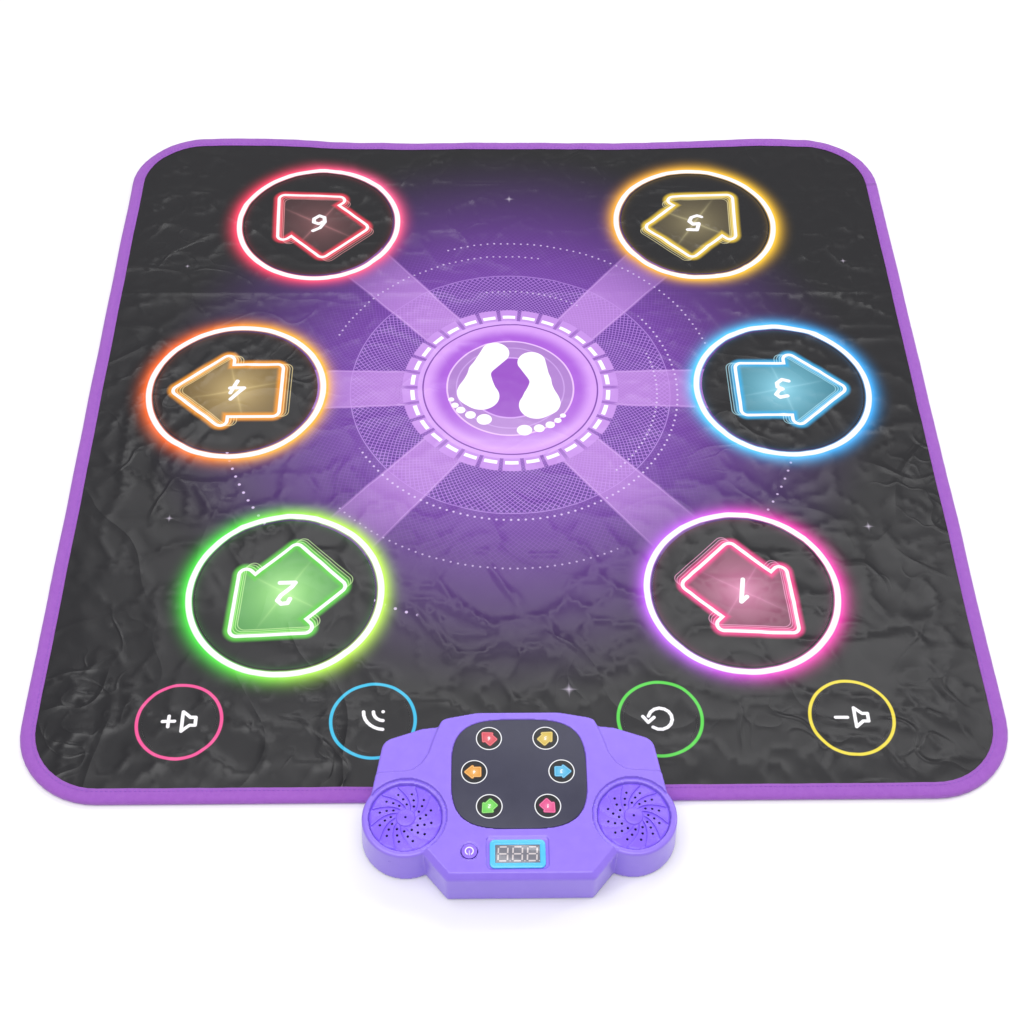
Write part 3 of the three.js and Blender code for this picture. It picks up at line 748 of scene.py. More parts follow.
def lay_stars(ink, x, y):
    """Four-pointed stars: the sum of the square roots of two distances makes the points thin."""
    for sx, sy, size in (
        (3, 345, 13), (389, 237, 9), (-345, -135, 10), (358, -149, 12), (49, -337, 16), (-368, 230, 7),
    ):
        near = abs(x - sx) ** 0.5 + abs(y - sy) ** 0.5
        ink.lay(colour("cfc4d8"), near.step(size ** 0.5 * 0.9, 0.6) * 0.75)


def lay_middle_light(ink, cx, cy, radius, share, grain):
    """Purple light, net, beams and dotted arcs, from the outside of the middle disc outwards."""
    ink.lay(colour("6d359f"), radius.step(395, 120) * (grain * 0.2 + 0.86))
    fine = net_mask(radius, share, 236, 0.05) * radius.step(171, 174) * radius.step(262, 176)
    ink.lay(colour("9a62cf"), fine * 0.5)
    net = radius.step(171.5, 170.5)
    ink.lay(colour("57298a"), net * 0.85)
    ink.lay(colour("b07ddd"), net * net_mask(radius, share, 180, 0.085))
    ink.lay(colour("b58ae0"), (radius - 172).line(0.5) * 0.8)
    lay_beams(ink, cx, cy, radius, grain)
    for at, spacing, dot, start, end, strength in (
        (180, 7.4, 1.15, -0.42, 0.10, 0.85),
        (204, 7.4, 1.1, 0.22, 0.44, 0.7),
        (226, 7.8, 1.1, 0.02, 0.30, 0.75),
        (158, 6.6, 1.1, -0.13, 0.05, 0.85),
        (146, 6.6, 1.0, 0.16, 0.28, 0.75),
        (309, 11.5, 1.5, -0.47, -0.30, 0.85),
        (309, 11.5, 1.3, -0.14, -0.02, 0.7),
        (240, 7.4, 1.0, -0.38, -0.18, 0.6),
    ):
        ink.lay(colour("d9c2ee"), dotted_arc(radius, share, at, spacing, dot, start, end) * strength)


pale_band = colour("cf9df0")
block_count = 30


def lay_blocks(ink, radius, share):
    """The dial round the middle disc: a pale ring, thirty blocks and a white dash on each."""
    block = abs((share * block_count).repeat())
    ink.lay(colour("8f5cb8"), radius.step(119, 110) * 0.75)
    ink.lay(colour("bd8ade"), radius.step(117.2, 115.8) * block.step(0.42, 0.40))
    ink.lay(colour("fdfaff"), (radius - 105.5).line(2.2) * block.step(0.325, 0.305))
    ink.lay(pale_band, radius.step(100.4, 99.2))


# %% The cover's printed finish
def printed_cover():
    material, tree, shader, x, y = vinyl("printed cover")
    cx, cy, radius, share = polar(x, y)
    place, _, _ = flat_place(tree)
    grain = noise_field(tree, place, 0.55, 3.0, 0.8)
    ink = Ink(tree, mat_black)
    lay_middle_light(ink, cx, cy, radius, share, grain)
    lay_blocks(ink, radius, share)
    lay_stars(ink, x, y)
    for right, left in (("pad_5", "pad_6"), ("pad_3", "pad_4"), ("pad_1", "pad_2")):
        lay_ring(ink, x, y, right, left)
    for right, left in (("pad_mode", "pad_wireless"), ("pad_volume_down", "pad_volume_up")):
        lay_thin_ring(ink, x, y, right, left)
    join_finish(tree, shader, ink)
    return material


cover_finish = printed_cover()
print("printed cover:", len(cover_finish.node_tree.nodes), "nodes")

# %% [markdown]
# ## The middle disc
# A pair of bare footprints shows where to stand. A sole is drawn as strokes of different widths that run
# into one another, and each toe is a round dot. `SMOOTH_MIN` joins two distances with a fillet, which is
# how a heel runs into an arch. This finish is kept on the faces of the middle disc only, so the rest of the
# cover renders faster.

# %% Footprints
left_foot = {
    "sole": [
        ((-16, 91.5), (-33, 66), 15.5, 11),
        ((-33, 66), (-36, 34), 11, 20.5),
        ((-36, 34), (-31, 28), 20.5, 19),
    ],
    "toes": [(-28.3, -4.7, 8), (-42.9, 1.9, 5.6), (-53.3, 8.8, 4.9), (-59.4, 15.6, 3.8), (-63.5, 23.5, 3.1)],
}
right_foot = {
    "sole": [
        ((23.8, 77.4), (33, 51), 15.4, 10.5),
        ((33, 51), (32, 20), 10.5, 20.5),
        ((32, 20), (27, 14), 20.5, 18),
    ],
    "toes": [(14, -20, 8), (29.7, -17.5, 5.6), (41.4, -12.7, 4.9), (49.7, -6.7, 3.8), (55.4, 0.6, 3.1)],
}


def tapered_stroke(x, y, start, end, start_half, end_half):
    """The distance to a stroke whose half width changes along it. Below zero is inside."""
    dx, dy = end[0] - start[0], end[1] - start[1]
    squared = dx * dx + dy * dy
    px, py = x - start[0], y - start[1]
    share = (px * (dx / squared)).math("ADD", py * (dy / squared), clamp=True)
    return hypotenuse(px - share * dx, py - share * dy) - (share * (end_half - start_half) + start_half)


def foot_mask(x, y, foot):
    sole = None
    for start, end, start_half, end_half in foot["sole"]:
        part = tapered_stroke(x, y, start, end, start_half, end_half)
        sole = part if sole is None else sole.math("SMOOTH_MIN", part, 6.0)
    for tx, ty, half in foot["toes"]:
        sole = sole.math("MINIMUM", hypotenuse(x - tx, (y - ty) * 1.08) - half)
    return sole.step(0.5, -0.5)


def printed_middle():
    material, tree, shader, x, y = vinyl("printed middle")
    cx, cy, radius, share = polar(x, y)
    ink = Ink(tree, pale_band)
    ink.lay(colour("a457d2"), radius.step(93.6, 92.8))
    ink.lay(colour("cf98ec"), radius.step(74, 91) * radius.step(93.6, 92.8))
    ink.lay(colour("743a9e"), (radius - 94).line(0.8))
    ink.lay(colour("e2baf4"), (radius - 68).line(1.0))
    ink.lay(colour("a577c4"), radius.step(67.6, 66.8))
    ink.lay(colour("c9a0e6"), (radius - 58).line(0.7) * 0.7)
    ink.lay(colour("9046bc"), radius.step(44, 43))
    ink.lay(colour("d9a9f5"), (radius - 43.5).line(0.9) * 0.8)
    low_light = (cy + 75).glow(24) * radius.step(92, 86) * 0.35
    ink.lay(colour("f0cdfd"), low_light)
    ink.lay(white_ink, foot_mask(x, y, left_foot).math("MAXIMUM", foot_mask(x, y, right_foot)))
    join_finish(tree, shader, ink)
    return material


middle_finish = printed_middle()
middle_disc = 97.3
print("printed middle:", len(middle_finish.node_tree.nodes), "nodes")

# %% [markdown]
# ## The cover's sheet
# The cover is one sheet from edge to edge, with a hole for each pad. A pad is trimmed a little, so that its
# rim clears the foam's recess when it is pressed. The cover crosses the mat's fold in one piece.

# %% Cover
pad_trim = 0.2
pad_gap = 0.15
hole_loops = [circle(px, py, half - pad_trim + pad_gap, 72 if half > 50 else 40)
              for px, py, half in pad_places.values()]
middle_loop = circle(*print_middle, middle_disc, 96)
cover_inset = 4.0


def on_cover(x, y, margin):
    if edge_distance(x, y) < cover_inset + margin:
        return False
    if margin and abs(math.hypot(x - print_middle[0], y - print_middle[1]) - middle_disc) < margin:
        return False
    return all(math.hypot(x - px, y - py) > half - pad_trim + pad_gap + margin
               for px, py, half in pad_places.values())


mat_bounds = (-half_width, half_width, near_edge, far_edge)
outline = rounded_square(cover_inset, sheet_step)
cover_flat, cover_faces = triangulate([outline, middle_loop] + hole_loops, on_cover, sheet_step, mat_bounds)
cover = lay_sheet("cover_sheet", cover_flat, cover_faces, cover_height)
cover.data.materials.append(cover_finish)
cover.data.materials.append(middle_finish)
for polygon in cover.data.polygons:
    centre = polygon.center / MM
    away = math.hypot(centre.x - print_middle[0], centre.y - print_middle[1])
    polygon.material_index = 1 if away < middle_disc - 0.5 else 0

fold_reach = 9.0


def bend_over_fold(piece):
    """Bakes a mat layer's placement into its mesh."""
    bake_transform(piece)


bend_over_fold(cover)
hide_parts("cover_main", "cover_far")
print("cover:", len(cover.data.polygons), "faces")

# %% [markdown]
# ## The step pads
# A pad is a round field of the cover with a switch under it. It is cut out as its own disc, because it
# moves when it is stepped on, and it follows the same height formula, so at rest no step shows. Its print
# is a neon arrow: a white tube in coloured light, a few thinner tubes behind it, and a faint fill. Six pads
# and the six signs on the control box use the same arrow, so it is a node group that takes a place and
# gives masks.

# %% The arrow's outline
def inset_polygon(corners, inset):
    """A polygon moved in by a distance. Its corners run anticlockwise."""
    moved = []
    for before, corner, after in zip(corners[-1:] + corners[:-1], corners, corners[1:] + corners[:1]):
        lines = []
        for (ax, ay), (bx, by) in ((before, corner), (corner, after)):
            length = math.hypot(bx - ax, by - ay)
            nx, ny = -(by - ay) / length, (bx - ax) / length
            lines.append((nx, ny, nx * ax + ny * ay + inset))
        (a, b, c), (d, e, f) = lines
        moved.append(((c * e - b * f) / (a * e - b * d), (a * f - c * d) / (a * e - b * d)))
    return moved


arrow_round = 7.0
arrow_corners = [(71, 0), (6, 59), (6, 37.5), (-48, 37.5), (-48, -37.5), (6, -37.5), (6, -59)]
arrow_core = inset_polygon(arrow_corners, arrow_round)


def arrow_distance(along, across):
    """The distance to the arrow's rounded outline. Below zero is inside."""
    side = abs(across)
    half = [arrow_core[0], arrow_core[1], arrow_core[2], arrow_core[3], (arrow_core[3][0], 0)]
    near = stroke_distance(along, side, half)
    tip, wing, _, heel = half[:4]
    slope = (wing[1] - tip[1]) / (tip[0] - wing[0])
    in_head = ((tip[0] - along) * slope - side).step(-0.02, 0.02) * along.step(wing[0] - 0.02, wing[0] + 0.02)
    in_stem = (side * -1 + heel[1]).step(-0.02, 0.02) * along.step(heel[0] - 0.02, heel[0] + 0.02)
    in_stem = in_stem * along.step(wing[0] + 0.04, wing[0])
    inside = in_head.math("MAXIMUM", in_stem)
    return near * (inside * -2 + 1) - arrow_round


neon_arrow, arrow_in, arrow_out = new_group(
    "neon arrow", {"Along": ("float", 0.0), "Across": ("float", 0.0)},
    {"Tube": "float", "Light": "float", "Echo": "float",
     "Inside": "float", "Middle": "float", "Flare": "float"})
arrow_near = arrow_distance(arrow_in["Along"], arrow_in["Across"])
arrow_echo = joined([arrow_distance(arrow_in["Along"] + echo_shift, arrow_in["Across"]).line(0.35, 0.5)
                     for echo_shift in (4.2, 7.2, 10.0)], "MAXIMUM")
arrow_inside = arrow_near.step(0.4, -0.4)
arrow_spread = hypotenuse(arrow_in["Along"], arrow_in["Across"])
arrow_beam_a = arrow_in["Along"] + arrow_in["Across"] * 0.25
arrow_beam_b = arrow_in["Along"] * 0.25 - arrow_in["Across"]
arrow_flare = (abs(arrow_beam_a).glow(1.2) + abs(arrow_beam_b).glow(1.2)) * arrow_spread.step(62, 6)
for arrow_label, arrow_field in (
    ("Tube", arrow_near.line(1.75, 0.6)),
    ("Light", abs(arrow_near).step(8.0, 2.6)),
    ("Echo", arrow_echo * arrow_near.step(11.0, 10.0)),
    ("Inside", arrow_inside),
    ("Middle", (arrow_spread * (-1 / 26)).math("EXPONENT")),
    ("Flare", arrow_flare * arrow_inside),
):
    neon_arrow.links.new(arrow_field.socket, arrow_out.inputs[arrow_label])
print("neon arrow:", len(neon_arrow.nodes), "nodes")

# %% [markdown]
# ## Numbers
# The numbers are painted strokes, written as lists of points in millimetres. They face the player, who
# stands on the mat and looks at the box, so seen from the box they are upside down.

# %% Numbers and arrows laid as ink
digits = {
    "1": [[(-4, 7), (2, 13), (-2, -13)]],
    "2": [[(-5, 7), (-3, 12), (3, 13), (7, 9), (4, 3), (-6, -7), (-9, -12), (6, -12)]],
    "3": [[(-4, 11), (4, 13), (8, 9), (4, 3), (0, 1), (5, -2), (5, -8), (-1, -13), (-8, -11)]],
    "4": [[(5, 13), (-8, -3), (7, -3)], [(6, 4), (0, -13)]],
    "5": [[(9, 12), (-2, 12), (-5, 2), (2, 3), (6, -2), (3, -9), (-4, -12), (-9, -10)]],
    "6": [[(6, 13), (-2, 8), (-7, -2), (-6, -10), (0, -13), (6, -8), (6, -2), (0, 1), (-6, -3)]],
}
pad_heading = {"pad_1": -45, "pad_2": 225, "pad_3": 0, "pad_4": 180, "pad_5": 45, "pad_6": 135}
arrow_light = {
    "pad_1": ("ea3f88", "f5a6cf", "93405f", 0.62),
    "pad_2": ("58c63a", "cdf6a8", "4fc457", 0.7),
    "pad_3": ("33a6dc", "b6ebfb", "3aa5c0", 0.58),
    "pad_4": ("ec961f", "ffe6a6", "8a6a2c", 0.45),
    "pad_5": ("e0bd35", "f2e6b0", "54472f", 0.2),
    "pad_6": ("e63a52", "efa2a6", "4a2c30", 0.16),
}


def lay_arrow(ink, x, y, pad_name, size=1.0, numbered=True):
    """The neon arrow and number of a pad, drawn about (0, 0)."""
    tree = ink.tree
    light, pale, fill = (colour(code) for code in arrow_light[pad_name][:3])
    along, across = turn(x / size, y / size, pad_heading[pad_name])
    arrow = place_group(tree, neon_arrow, Along=along, Across=across)
    mask = {label: Field(tree, arrow.outputs[label])
            for label in ("Tube", "Light", "Echo", "Inside", "Middle", "Flare")}
    ink.lay(fill, mask["Inside"] * (mask["Middle"] * 0.65 + 0.38))
    ink.lay(pale, mask["Inside"] * mask["Middle"] * arrow_light[pad_name][3])
    ink.lay(pale, mask["Flare"] * 0.3)
    ink.lay(light, mask["Light"] * 0.9)
    ink.lay(pale, mask["Echo"] * 0.7)
    ink.lay(white_ink, mask["Tube"])
    if numbered:
        digit = strokes_mask(-(x / size), -(y / size), digits[pad_name[-1]], 2.2)
        ink.lay(white_ink, digit)


def pad_finish(pad_name):
    px, py, half = pad_places[pad_name]
    material, tree, shader, x, y = vinyl("printed " + pad_name)
    x, y = x - px, y - py
    ink = Ink(tree, mat_black)
    lay_arrow(ink, x, y, pad_name)
    rim = (hypotenuse(x, y) - 90.2) * 0.45
    ink.lay(colour(pad_light[pad_name][0]), rim.math("EXPONENT") * 0.4)
    join_finish(tree, shader, ink)
    return material


# %% [markdown]
# ## The function pads
# Four small pads sit nearest the box. Their labels are signs that need no words: a loudspeaker with a plus
# or a minus for the volume, waves from a dot for the wireless link, and a turning arrow for the mode.

# %% Function signs
def arc_points(x, y, radius, start, end, count):
    angles = [math.radians(start + (end - start) * k / count) for k in range(count + 1)]
    return [(x + radius * math.cos(a), y + radius * math.sin(a)) for a in angles]


loudspeaker = [[(-15, -4), (-15, 4), (-10, 4), (-3, 10), (-3, -10), (-10, -4), (-15, -4)]]
minus_sign = [[(4, 0), (15, 0)]]
function_signs = {
    "pad_volume_up": loudspeaker + minus_sign + [[(9.5, -5.5), (9.5, 5.5)]],
    "pad_wireless": [
        [(-9, -9), (-8.9, -9)], arc_points(-9, -9, 9, 0, 90, 5), arc_points(-9, -9, 18, 0, 90, 7)],
    "pad_mode": [arc_points(0, 0, 11, 50, 345, 12), [(5.6, -1.6), (11.2, 3.4), (15.8, -2.6)]],
    "pad_volume_down": loudspeaker + minus_sign,
}


def function_finish(pad_name):
    px, py, _ = pad_places[pad_name]
    material, tree, shader, x, y = vinyl("printed " + pad_name)
    ink = Ink(tree, mat_black)
    ink.lay(white_ink, strokes_mask(px - x, py - y, function_signs[pad_name], 1.55))
    join_finish(tree, shader, ink)
    return material


# %% Pad discs
def pad_disc(pad_name, finish):
    """The round field of the cover over one switch, at the height that the cover has there."""
    px, py, half = pad_places[pad_name]
    half -= pad_trim
    loop = circle(px, py, half, 72 if half > 50 else 40)
    bounds = (px - half, px + half, py - half, py + half)
    flat, faces = triangulate(
        [loop], lambda x, y, margin: math.hypot(x - px, y - py) < half - margin, sheet_step, bounds)
    disc = lay_sheet(pad_name + "_disc", flat, faces, cover_height)
    give(disc, finish, pad_name, "mat_cover", pad_name)
    return disc


pad_discs = [pad_disc(pad_name, pad_finish(pad_name)) for pad_name in pad_names]
pad_discs += [pad_disc(pad_name, function_finish(pad_name)) for pad_name in function_names]
print(len(pad_discs), "pad discs")

# %% [markdown]
# ## The binding tape
# A purple woven tape is folded over the mat's raw edge and stitched down. It is a profile carried round the
# outline. A curve with a bevel would do, but the tape has to follow the cover's height on its inner side
# and the floor on its outer side, so each ring of points is set one by one.

# %% Woven tape finish
weave, weave_in, weave_out = new_group(
    "weave", {"Place": ("vector", None), "Threads per mm": ("float", 1.6)},
    {"Height": "float", "Shade": "float"})
weave_split = add_node(weave, "ShaderNodeSeparateXYZ", Vector=weave_in["Place"])
weave_u = Field(weave, weave_split.outputs[0]) * weave_in["Threads per mm"]
weave_v = Field(weave, weave_split.outputs[1]) * weave_in["Threads per mm"]
warp_thread = (weave_u * math.pi).math("SINE")
weft_thread = (weave_v * math.pi).math("SINE")
over_under = warp_thread * weft_thread
thread_body = (weave_u * (2 * math.pi)).math("COSINE") + (weave_v * (2 * math.pi)).math("COSINE")
weave_height = over_under * 0.5 - thread_body * 0.25
weave.links.new(weave_height.socket, weave_out.inputs["Height"])
weave_shade = noise_field(weave, weave_in["Place"].socket, 0.16, 5.0, 0.65)
weave.links.new(weave_shade.socket, weave_out.inputs["Shade"])


def cloth(name, dark, light, threads, depth, roughness, sheen=0.0):
    """A woven material. Its flat places are in millimetres."""
    material, tree, shader = new_material(
        name, Roughness=roughness, Specular_IOR_Level=0.35, Sheen_Weight=sheen)
    place, x, y = flat_place(tree)
    woven = place_group(tree, weave, Place=place, Threads_per_mm=threads)
    height, shade = Field(tree, woven.outputs["Height"]), Field(tree, woven.outputs["Shade"])
    # Lighter on the threads and darker between them, following the weave's height: painted shade. The noise
    # adds random tone.
    ink = Ink(tree, dark).lay(light, height * 0.35 + shade * 0.75)
    join_finish(tree, shader, ink, None, height + shade * 2, depth)
    return material


tape_finish = cloth("purple tape", colour("9c52c6"), colour("b771d8"), 1.7, 0.00022, 0.5, 0.15)
thread_finish = cloth("purple thread", colour("8a48c2"), colour("b57ae2"), 2.6, 0.0001, 0.6, 0.2)

# %% Tape profile
outline_step = 5.0


def outline_with_normals(inset, step, refine=lambda loop: loop):
    """Points on the outline, set in by inset, with the direction that points inwards at each."""
    loop = refine(rounded_square(inset, step))
    normals = []
    for before, after in zip(loop[-1:] + loop[:-1], loop[1:] + loop[:1]):
        dx, dy = after[0] - before[0], after[1] - before[1]
        length = math.hypot(dx, dy)
        normals.append((-dy / length, dx / length))
    return loop, normals


def finer_at_fold(loop, parts=3):
    """The outline with more points across the fold, where the tape bends in a tight round."""
    finer = []
    for (ax, ay), (bx, by) in zip(loop, loop[1:] + loop[:1]):
        count = parts if abs((ay + by) / 2 - fold_y) < fold_reach + 4 and abs(ax) > half_width - 30 else 1
        finer += [(ax + (bx - ax) * k / count, ay + (by - ay) * k / count) for k in range(count)]
    return finer


def tape_points(x, y, nx, ny):
    """One ring of the tape, as (inset, height): round its outside, then back along its inside."""
    inner = tape_width
    lip = cover_height(x + nx * inner, y + ny * inner)
    seam = cover_height(x + nx * 10.5, y + ny * 10.5)
    puff = 0.35 * noise.noise(Vector((x / 14, y / 14, 40.0)))
    crown = 5.9 + 0.35 * mat_height(x + nx * 5, y + ny * 5) + puff
    outer = [(inner, lip + 0.12), (inner - 0.25, lip + 0.6), (11.2, seam + 0.62), (10.4, seam + 0.5),
             (8.6, seam + 0.85), (5.0, crown), (2.0, crown - 0.35), (0.5, crown - 1.6), (0.0, 3.2),
             (0.15, 1.5), (0.9, 0.45),
             (3.0, 0.08), (8.0, 0.02), (12.8, 0.04), (inner, 0.1)]
    inside = [(inner, 0.34), (8.0, 0.4), (2.2, 0.55), (0.75, 1.8), (0.6, 3.2), (1.3, crown - 1.4),
              (4.8, crown - 0.5), (8.6, seam + 0.4), (10.4, seam + 0.12)]
    return outer + inside


def swept_tape(name):
    loop, normals = outline_with_normals(0, outline_step, finer_at_fold)
    points, places = [], []
    length = 0.0
    for (x, y), (nx, ny), (after_x, after_y) in zip(loop, normals, loop[1:] + loop[:1]):
        ring = tape_points(x, y, nx, ny)
        around = 0.0
        for k, (inset, z) in enumerate(ring):
            if k:
                around += math.hypot(inset - ring[k - 1][0], z - ring[k - 1][1])
            px, py = laid(x + nx * inset, y + ny * inset)
            points.append((px * MM, py * MM, z * MM))
            places += [length, around, 0.0]
        length += math.hypot(after_x - x, after_y - y)
    size = len(ring)
    faces = []
    for i in range(len(loop)):
        faces += ring_faces(i * size, (i + 1) % len(loop) * size, size)
    tape = mesh_object(name, points, faces)
    keep_flat_places(tape, places)
    face_outwards(tape)
    return tape


tape = swept_tape("binding_tape")
tape.data.materials.append(tape_finish)
bend_over_fold(tape)
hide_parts("binding_main", "binding_far")

# %% [markdown]
# A sewing machine leaves one even row of stitches near the tape's inner edge. Each stitch is a small bead
# of thread that sinks into the tape at both ends.

# %% Stitches
stitch_length, stitch_pitch, stitch_inset = 3.0, 4.2, 11.0


def stitch_row(name, inset, height):
    loop, normals = outline_with_normals(inset, stitch_pitch)
    points, faces, places = [], [], []
    sections = [
        (-0.5, 0.12, -0.25), (-0.32, 0.42, 0.05), (0.0, 0.5, 0.16), (0.32, 0.42, 0.05), (0.5, 0.12, -0.25)]
    sides = 6
    for (x, y), (nx, ny) in zip(loop, normals):
        tx, ty = ny, -nx
        first = len(points)
        for share, radius, lift in sections:
            for k in range(sides):
                angle = 2 * math.pi * k / sides
                along, across = share * stitch_length, radius * 0.75 * math.cos(angle)
                px, py = laid(x + tx * along + nx * across, y + ty * along + ny * across)
                z = height(x, y) + lift + radius * 0.62 * math.sin(angle)
                points.append((px * MM, py * MM, z * MM))
                places += [share * stitch_length, across, 0.0]
        last = first + (len(sections) - 1) * sides
        for ring in range(first, last, sides):
            faces += ring_faces(ring, ring + sides, sides)
        faces += end_faces(first, last, sides)
    row = mesh_object(name, points, faces)
    keep_flat_places(row, places)
    face_outwards(row)
    return row


stitches = stitch_row("binding_stitches", stitch_inset, lambda x, y: cover_height(x, y) + 0.62)
stitches.data.materials.append(thread_finish)
bend_over_fold(stitches)
print("tape", len(tape.data.polygons), "faces, stitches", len(stitches.data.polygons), "faces")

# %% [markdown]
# ## The underside
# The base is a tough black cloth with rubber dots that grip the floor. It shows when the mat is turned over
# or folded. It is one sheet with its face down, and the dots are real bumps in it: a ring of points round
# each dot's middle, which touches the floor. There are none beside the fold, nor where the box's steel plate
# clamps the mat from below.

# %% Base cloth
dot_pitch, dot_half, cloth_level = 15.0, 2.2, 0.45
base_inset = 9.0
base_finish = cloth("black grip cloth", colour("141317"), colour("2a282e"), 1.1, 0.00025, 0.85)


def base_sheet(name):
    """A sheet with its face down, and a grip dot at each crossing of a staggered grid."""
    dots = []
    plate_half, plate_back = (value / MM + dot_half + 1 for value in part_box("mat_clamp_plate")[1][:2])
    row_height = dot_pitch * math.sqrt(3) / 2
    for row in range(int((far_edge - near_edge) / row_height)):
        y = near_edge + row_height * (row + 0.5)
        for column in range(int(2 * half_width / dot_pitch)):
            x = -half_width + dot_pitch * (column + 0.5 + 0.5 * (row % 2))
            on_plate = abs(x) < plate_half and y < plate_back
            if edge_distance(x, y) > base_inset + 8 and abs(y - fold_y) > 13 and not on_plate:
                dots.append((x, y))
    flat = rounded_square(base_inset, 12.0)
    edges = [(k, (k + 1) % len(flat)) for k in range(len(flat))]
    heights = [cloth_level - 0.1] * len(flat)
    for x, y in dots:
        first = len(flat)
        for radius, height in ((dot_half, cloth_level), (dot_half * 0.72, 0.06)):
            flat += circle(x, y, radius, 6)
            heights += [height] * 6
        flat.append((x, y))
        heights.append(0.0)
        edges += [(first + k, first + (k + 1) % 6) for k in range(6)]
    for k in range(int(2 * half_width / 12)):
        x = -half_width + 12 * (k + 0.5)
        for y in (fold_y + 3 * row for row in range(-3, 4)):
            if edge_distance(x, y) > base_inset + 5:
                flat.append((x, y))
                heights.append(cloth_level)
    made, _, faces, kept, *_ = geometry.delaunay_2d_cdt([Vector(p) for p in flat], edges, [], 1, 1e-5)
    origins = [source[0] if source else 0 for source in kept]
    points = [(*(value * MM for value in laid(*p)), heights[origin] * MM) for p, origin in zip(made, origins)]
    sheet = mesh_object(name, points, [tuple(reversed(face)) for face in faces], smooth=True)
    keep_flat_places(sheet, [value for p in made for value in (p.x, p.y, 0.0)])
    return sheet, len(dots)


base, dot_count = base_sheet("base_sheet")
base.data.materials.append(base_finish)
bend_over_fold(base)
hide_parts("base_cloth_main", "base_cloth_far")
print("base cloth:", dot_count, "grip dots")

# %% [markdown]
# ## The control box's shell
# The box is one moulding with a raised middle, two corners stepped down at the back, two round speaker
# pods, and a seat for everything that is set into it. It could be cut from boxes with Boolean modifiers,
# but every edge of a moulding is a little round. So it is described as a field, a number at each point of a
# fine grid that is below zero inside the plastic, and its zero surface is made into quads. Two forms join
# by the smaller of their two numbers, and cutting one out of another takes the larger.

# %% Outlines of the box
box_y = near_edge
box_top, recess_top, pod_top = 42.0, 40.1, 40.0
pod_x, pod_y, pod_radius, pod_flare = 97.5, -32.5, 37.3, 2.0
pocket_radius, pocket_floor = 31.5, 36.1
shell_wall = 2.2
arc_steps = 8


def mirrored(half):
    return half + [(-x, y, radius) for x, y, radius in reversed(half)]


def rounded(corners):
    """A closed outline from (x, y, radius) corners, with an arc at each."""
    points = []
    for (ax, ay, _), (x, y, radius), (bx, by, _) in zip(
            corners[-1:] + corners[:-1], corners, corners[1:] + corners[:1]):
        before, after = Vector((ax - x, ay - y)), Vector((bx - x, by - y))
        half_angle = before.angle(after) / 2
        reach = min(radius / math.tan(half_angle), before.length * 0.5, after.length * 0.5) if radius else 0
        start, end = Vector((x, y)) + before.normalized() * reach, Vector((x, y)) + after.normalized() * reach
        for k in range(arc_steps + 1 if radius else 1):
            t = k / arc_steps
            points.append(start * (1 - t) ** 2 + Vector((x, y)) * 2 * t * (1 - t) + end * t * t)
    return [(p.x, p.y) for p in points]


middle_outline = rounded(mirrored([
    (62, -90.5, 5), (84.5, -63.5, 4), (71, -22.5, 12), (71, 61, 12), (35.5, 68, 60)]))
shoulder_outline = rounded(mirrored([
    (131.8, -32.5, 0), (127, -9, 8), (119, 41, 14), (85, 53, 20), (35.5, 59, 0)]))
step_line = [(66.0, 66.0), (69.3, 57), (72.8, 47), (75.9, 37.9), (78.8, 27.6), (84.6, 18), (92.4, 11.6),
             (102.7, 9.9), (113, 9.7), (121.5, 9.0), (126, 6.5), (145, 4), (145, 80), (66, 80)]


def superellipse(half_x, half_y, power, count=96):
    points = []
    for k in range(count):
        c, s = math.cos(2 * math.pi * k / count), math.sin(2 * math.pi * k / count)
        points.append((math.copysign(half_x * abs(c) ** (2 / power), c),
                       math.copysign(half_y * abs(s) ** (2 / power), s)))
    return points


def round_rectangle(half_x, half_y, radius, count=8):
    points = []
    for cx, cy, start in ((1, 1, 0), (-1, 1, 90), (-1, -1, 180), (1, -1, 270)):
        for k in range(count + 1):
            angle = math.radians(start + 90 * k / count)
            points.append((cx * (half_x - radius) + radius * math.cos(angle),
                           cy * (half_y - radius) + radius * math.sin(angle)))
    return points


def shifted(points, dx, dy):
    return [(x + dx, y + dy) for x, y in points]


panel_middle, display_middle, button_middle = (0.0, 7.4), (-2.5, -68.5), (-43.0, -66.0)
panel_half_x, panel_half_y, panel_power = 58.6, 52.8, 3.4
panel_outline = shifted(superellipse(panel_half_x, panel_half_y, panel_power), *panel_middle)
seat_outline = shifted(round_rectangle(26.2, 15.2, 4.5), display_middle[0], -66.9)
window_outline = shifted(round_rectangle(19.2, 9.2, 1), *display_middle)

# %% The grid and its distances
cell = 0.85
grid_x = np.arange(-141.5, 142, cell)
grid_y = np.arange(-93.5, 72, cell)
grid_z = np.arange(-0.6, 44, cell)
plan_x, plan_y = np.meshgrid(grid_x, grid_y, indexing="ij")


def outline_field(outline):
    """The distance from each point of the plan grid to an outline. Below zero is inside."""
    nearest = np.full(plan_x.shape, 1e9)
    inside = np.zeros(plan_x.shape, bool)
    for (ax, ay), (bx, by) in zip(outline, outline[1:] + outline[:1]):
        dx, dy = bx - ax, by - ay
        share = np.clip(((plan_x - ax) * dx + (plan_y - ay) * dy) / max(dx * dx + dy * dy, 1e-12), 0, 1)
        nearest = np.minimum(nearest, np.hypot(plan_x - ax - share * dx, plan_y - ay - share * dy))
        crosses = (ay > plan_y) != (by > plan_y)
        inside ^= crosses & (plan_x < dx * (plan_y - ay) / (dy if dy else 1e-12) + ax)
    return np.where(inside, -nearest, nearest)


def smooth_min(a, b, k):
    h = np.clip(0.5 + 0.5 * (b - a) / k, 0, 1)
    return b + (a - b) * h - k * h * (1 - h)


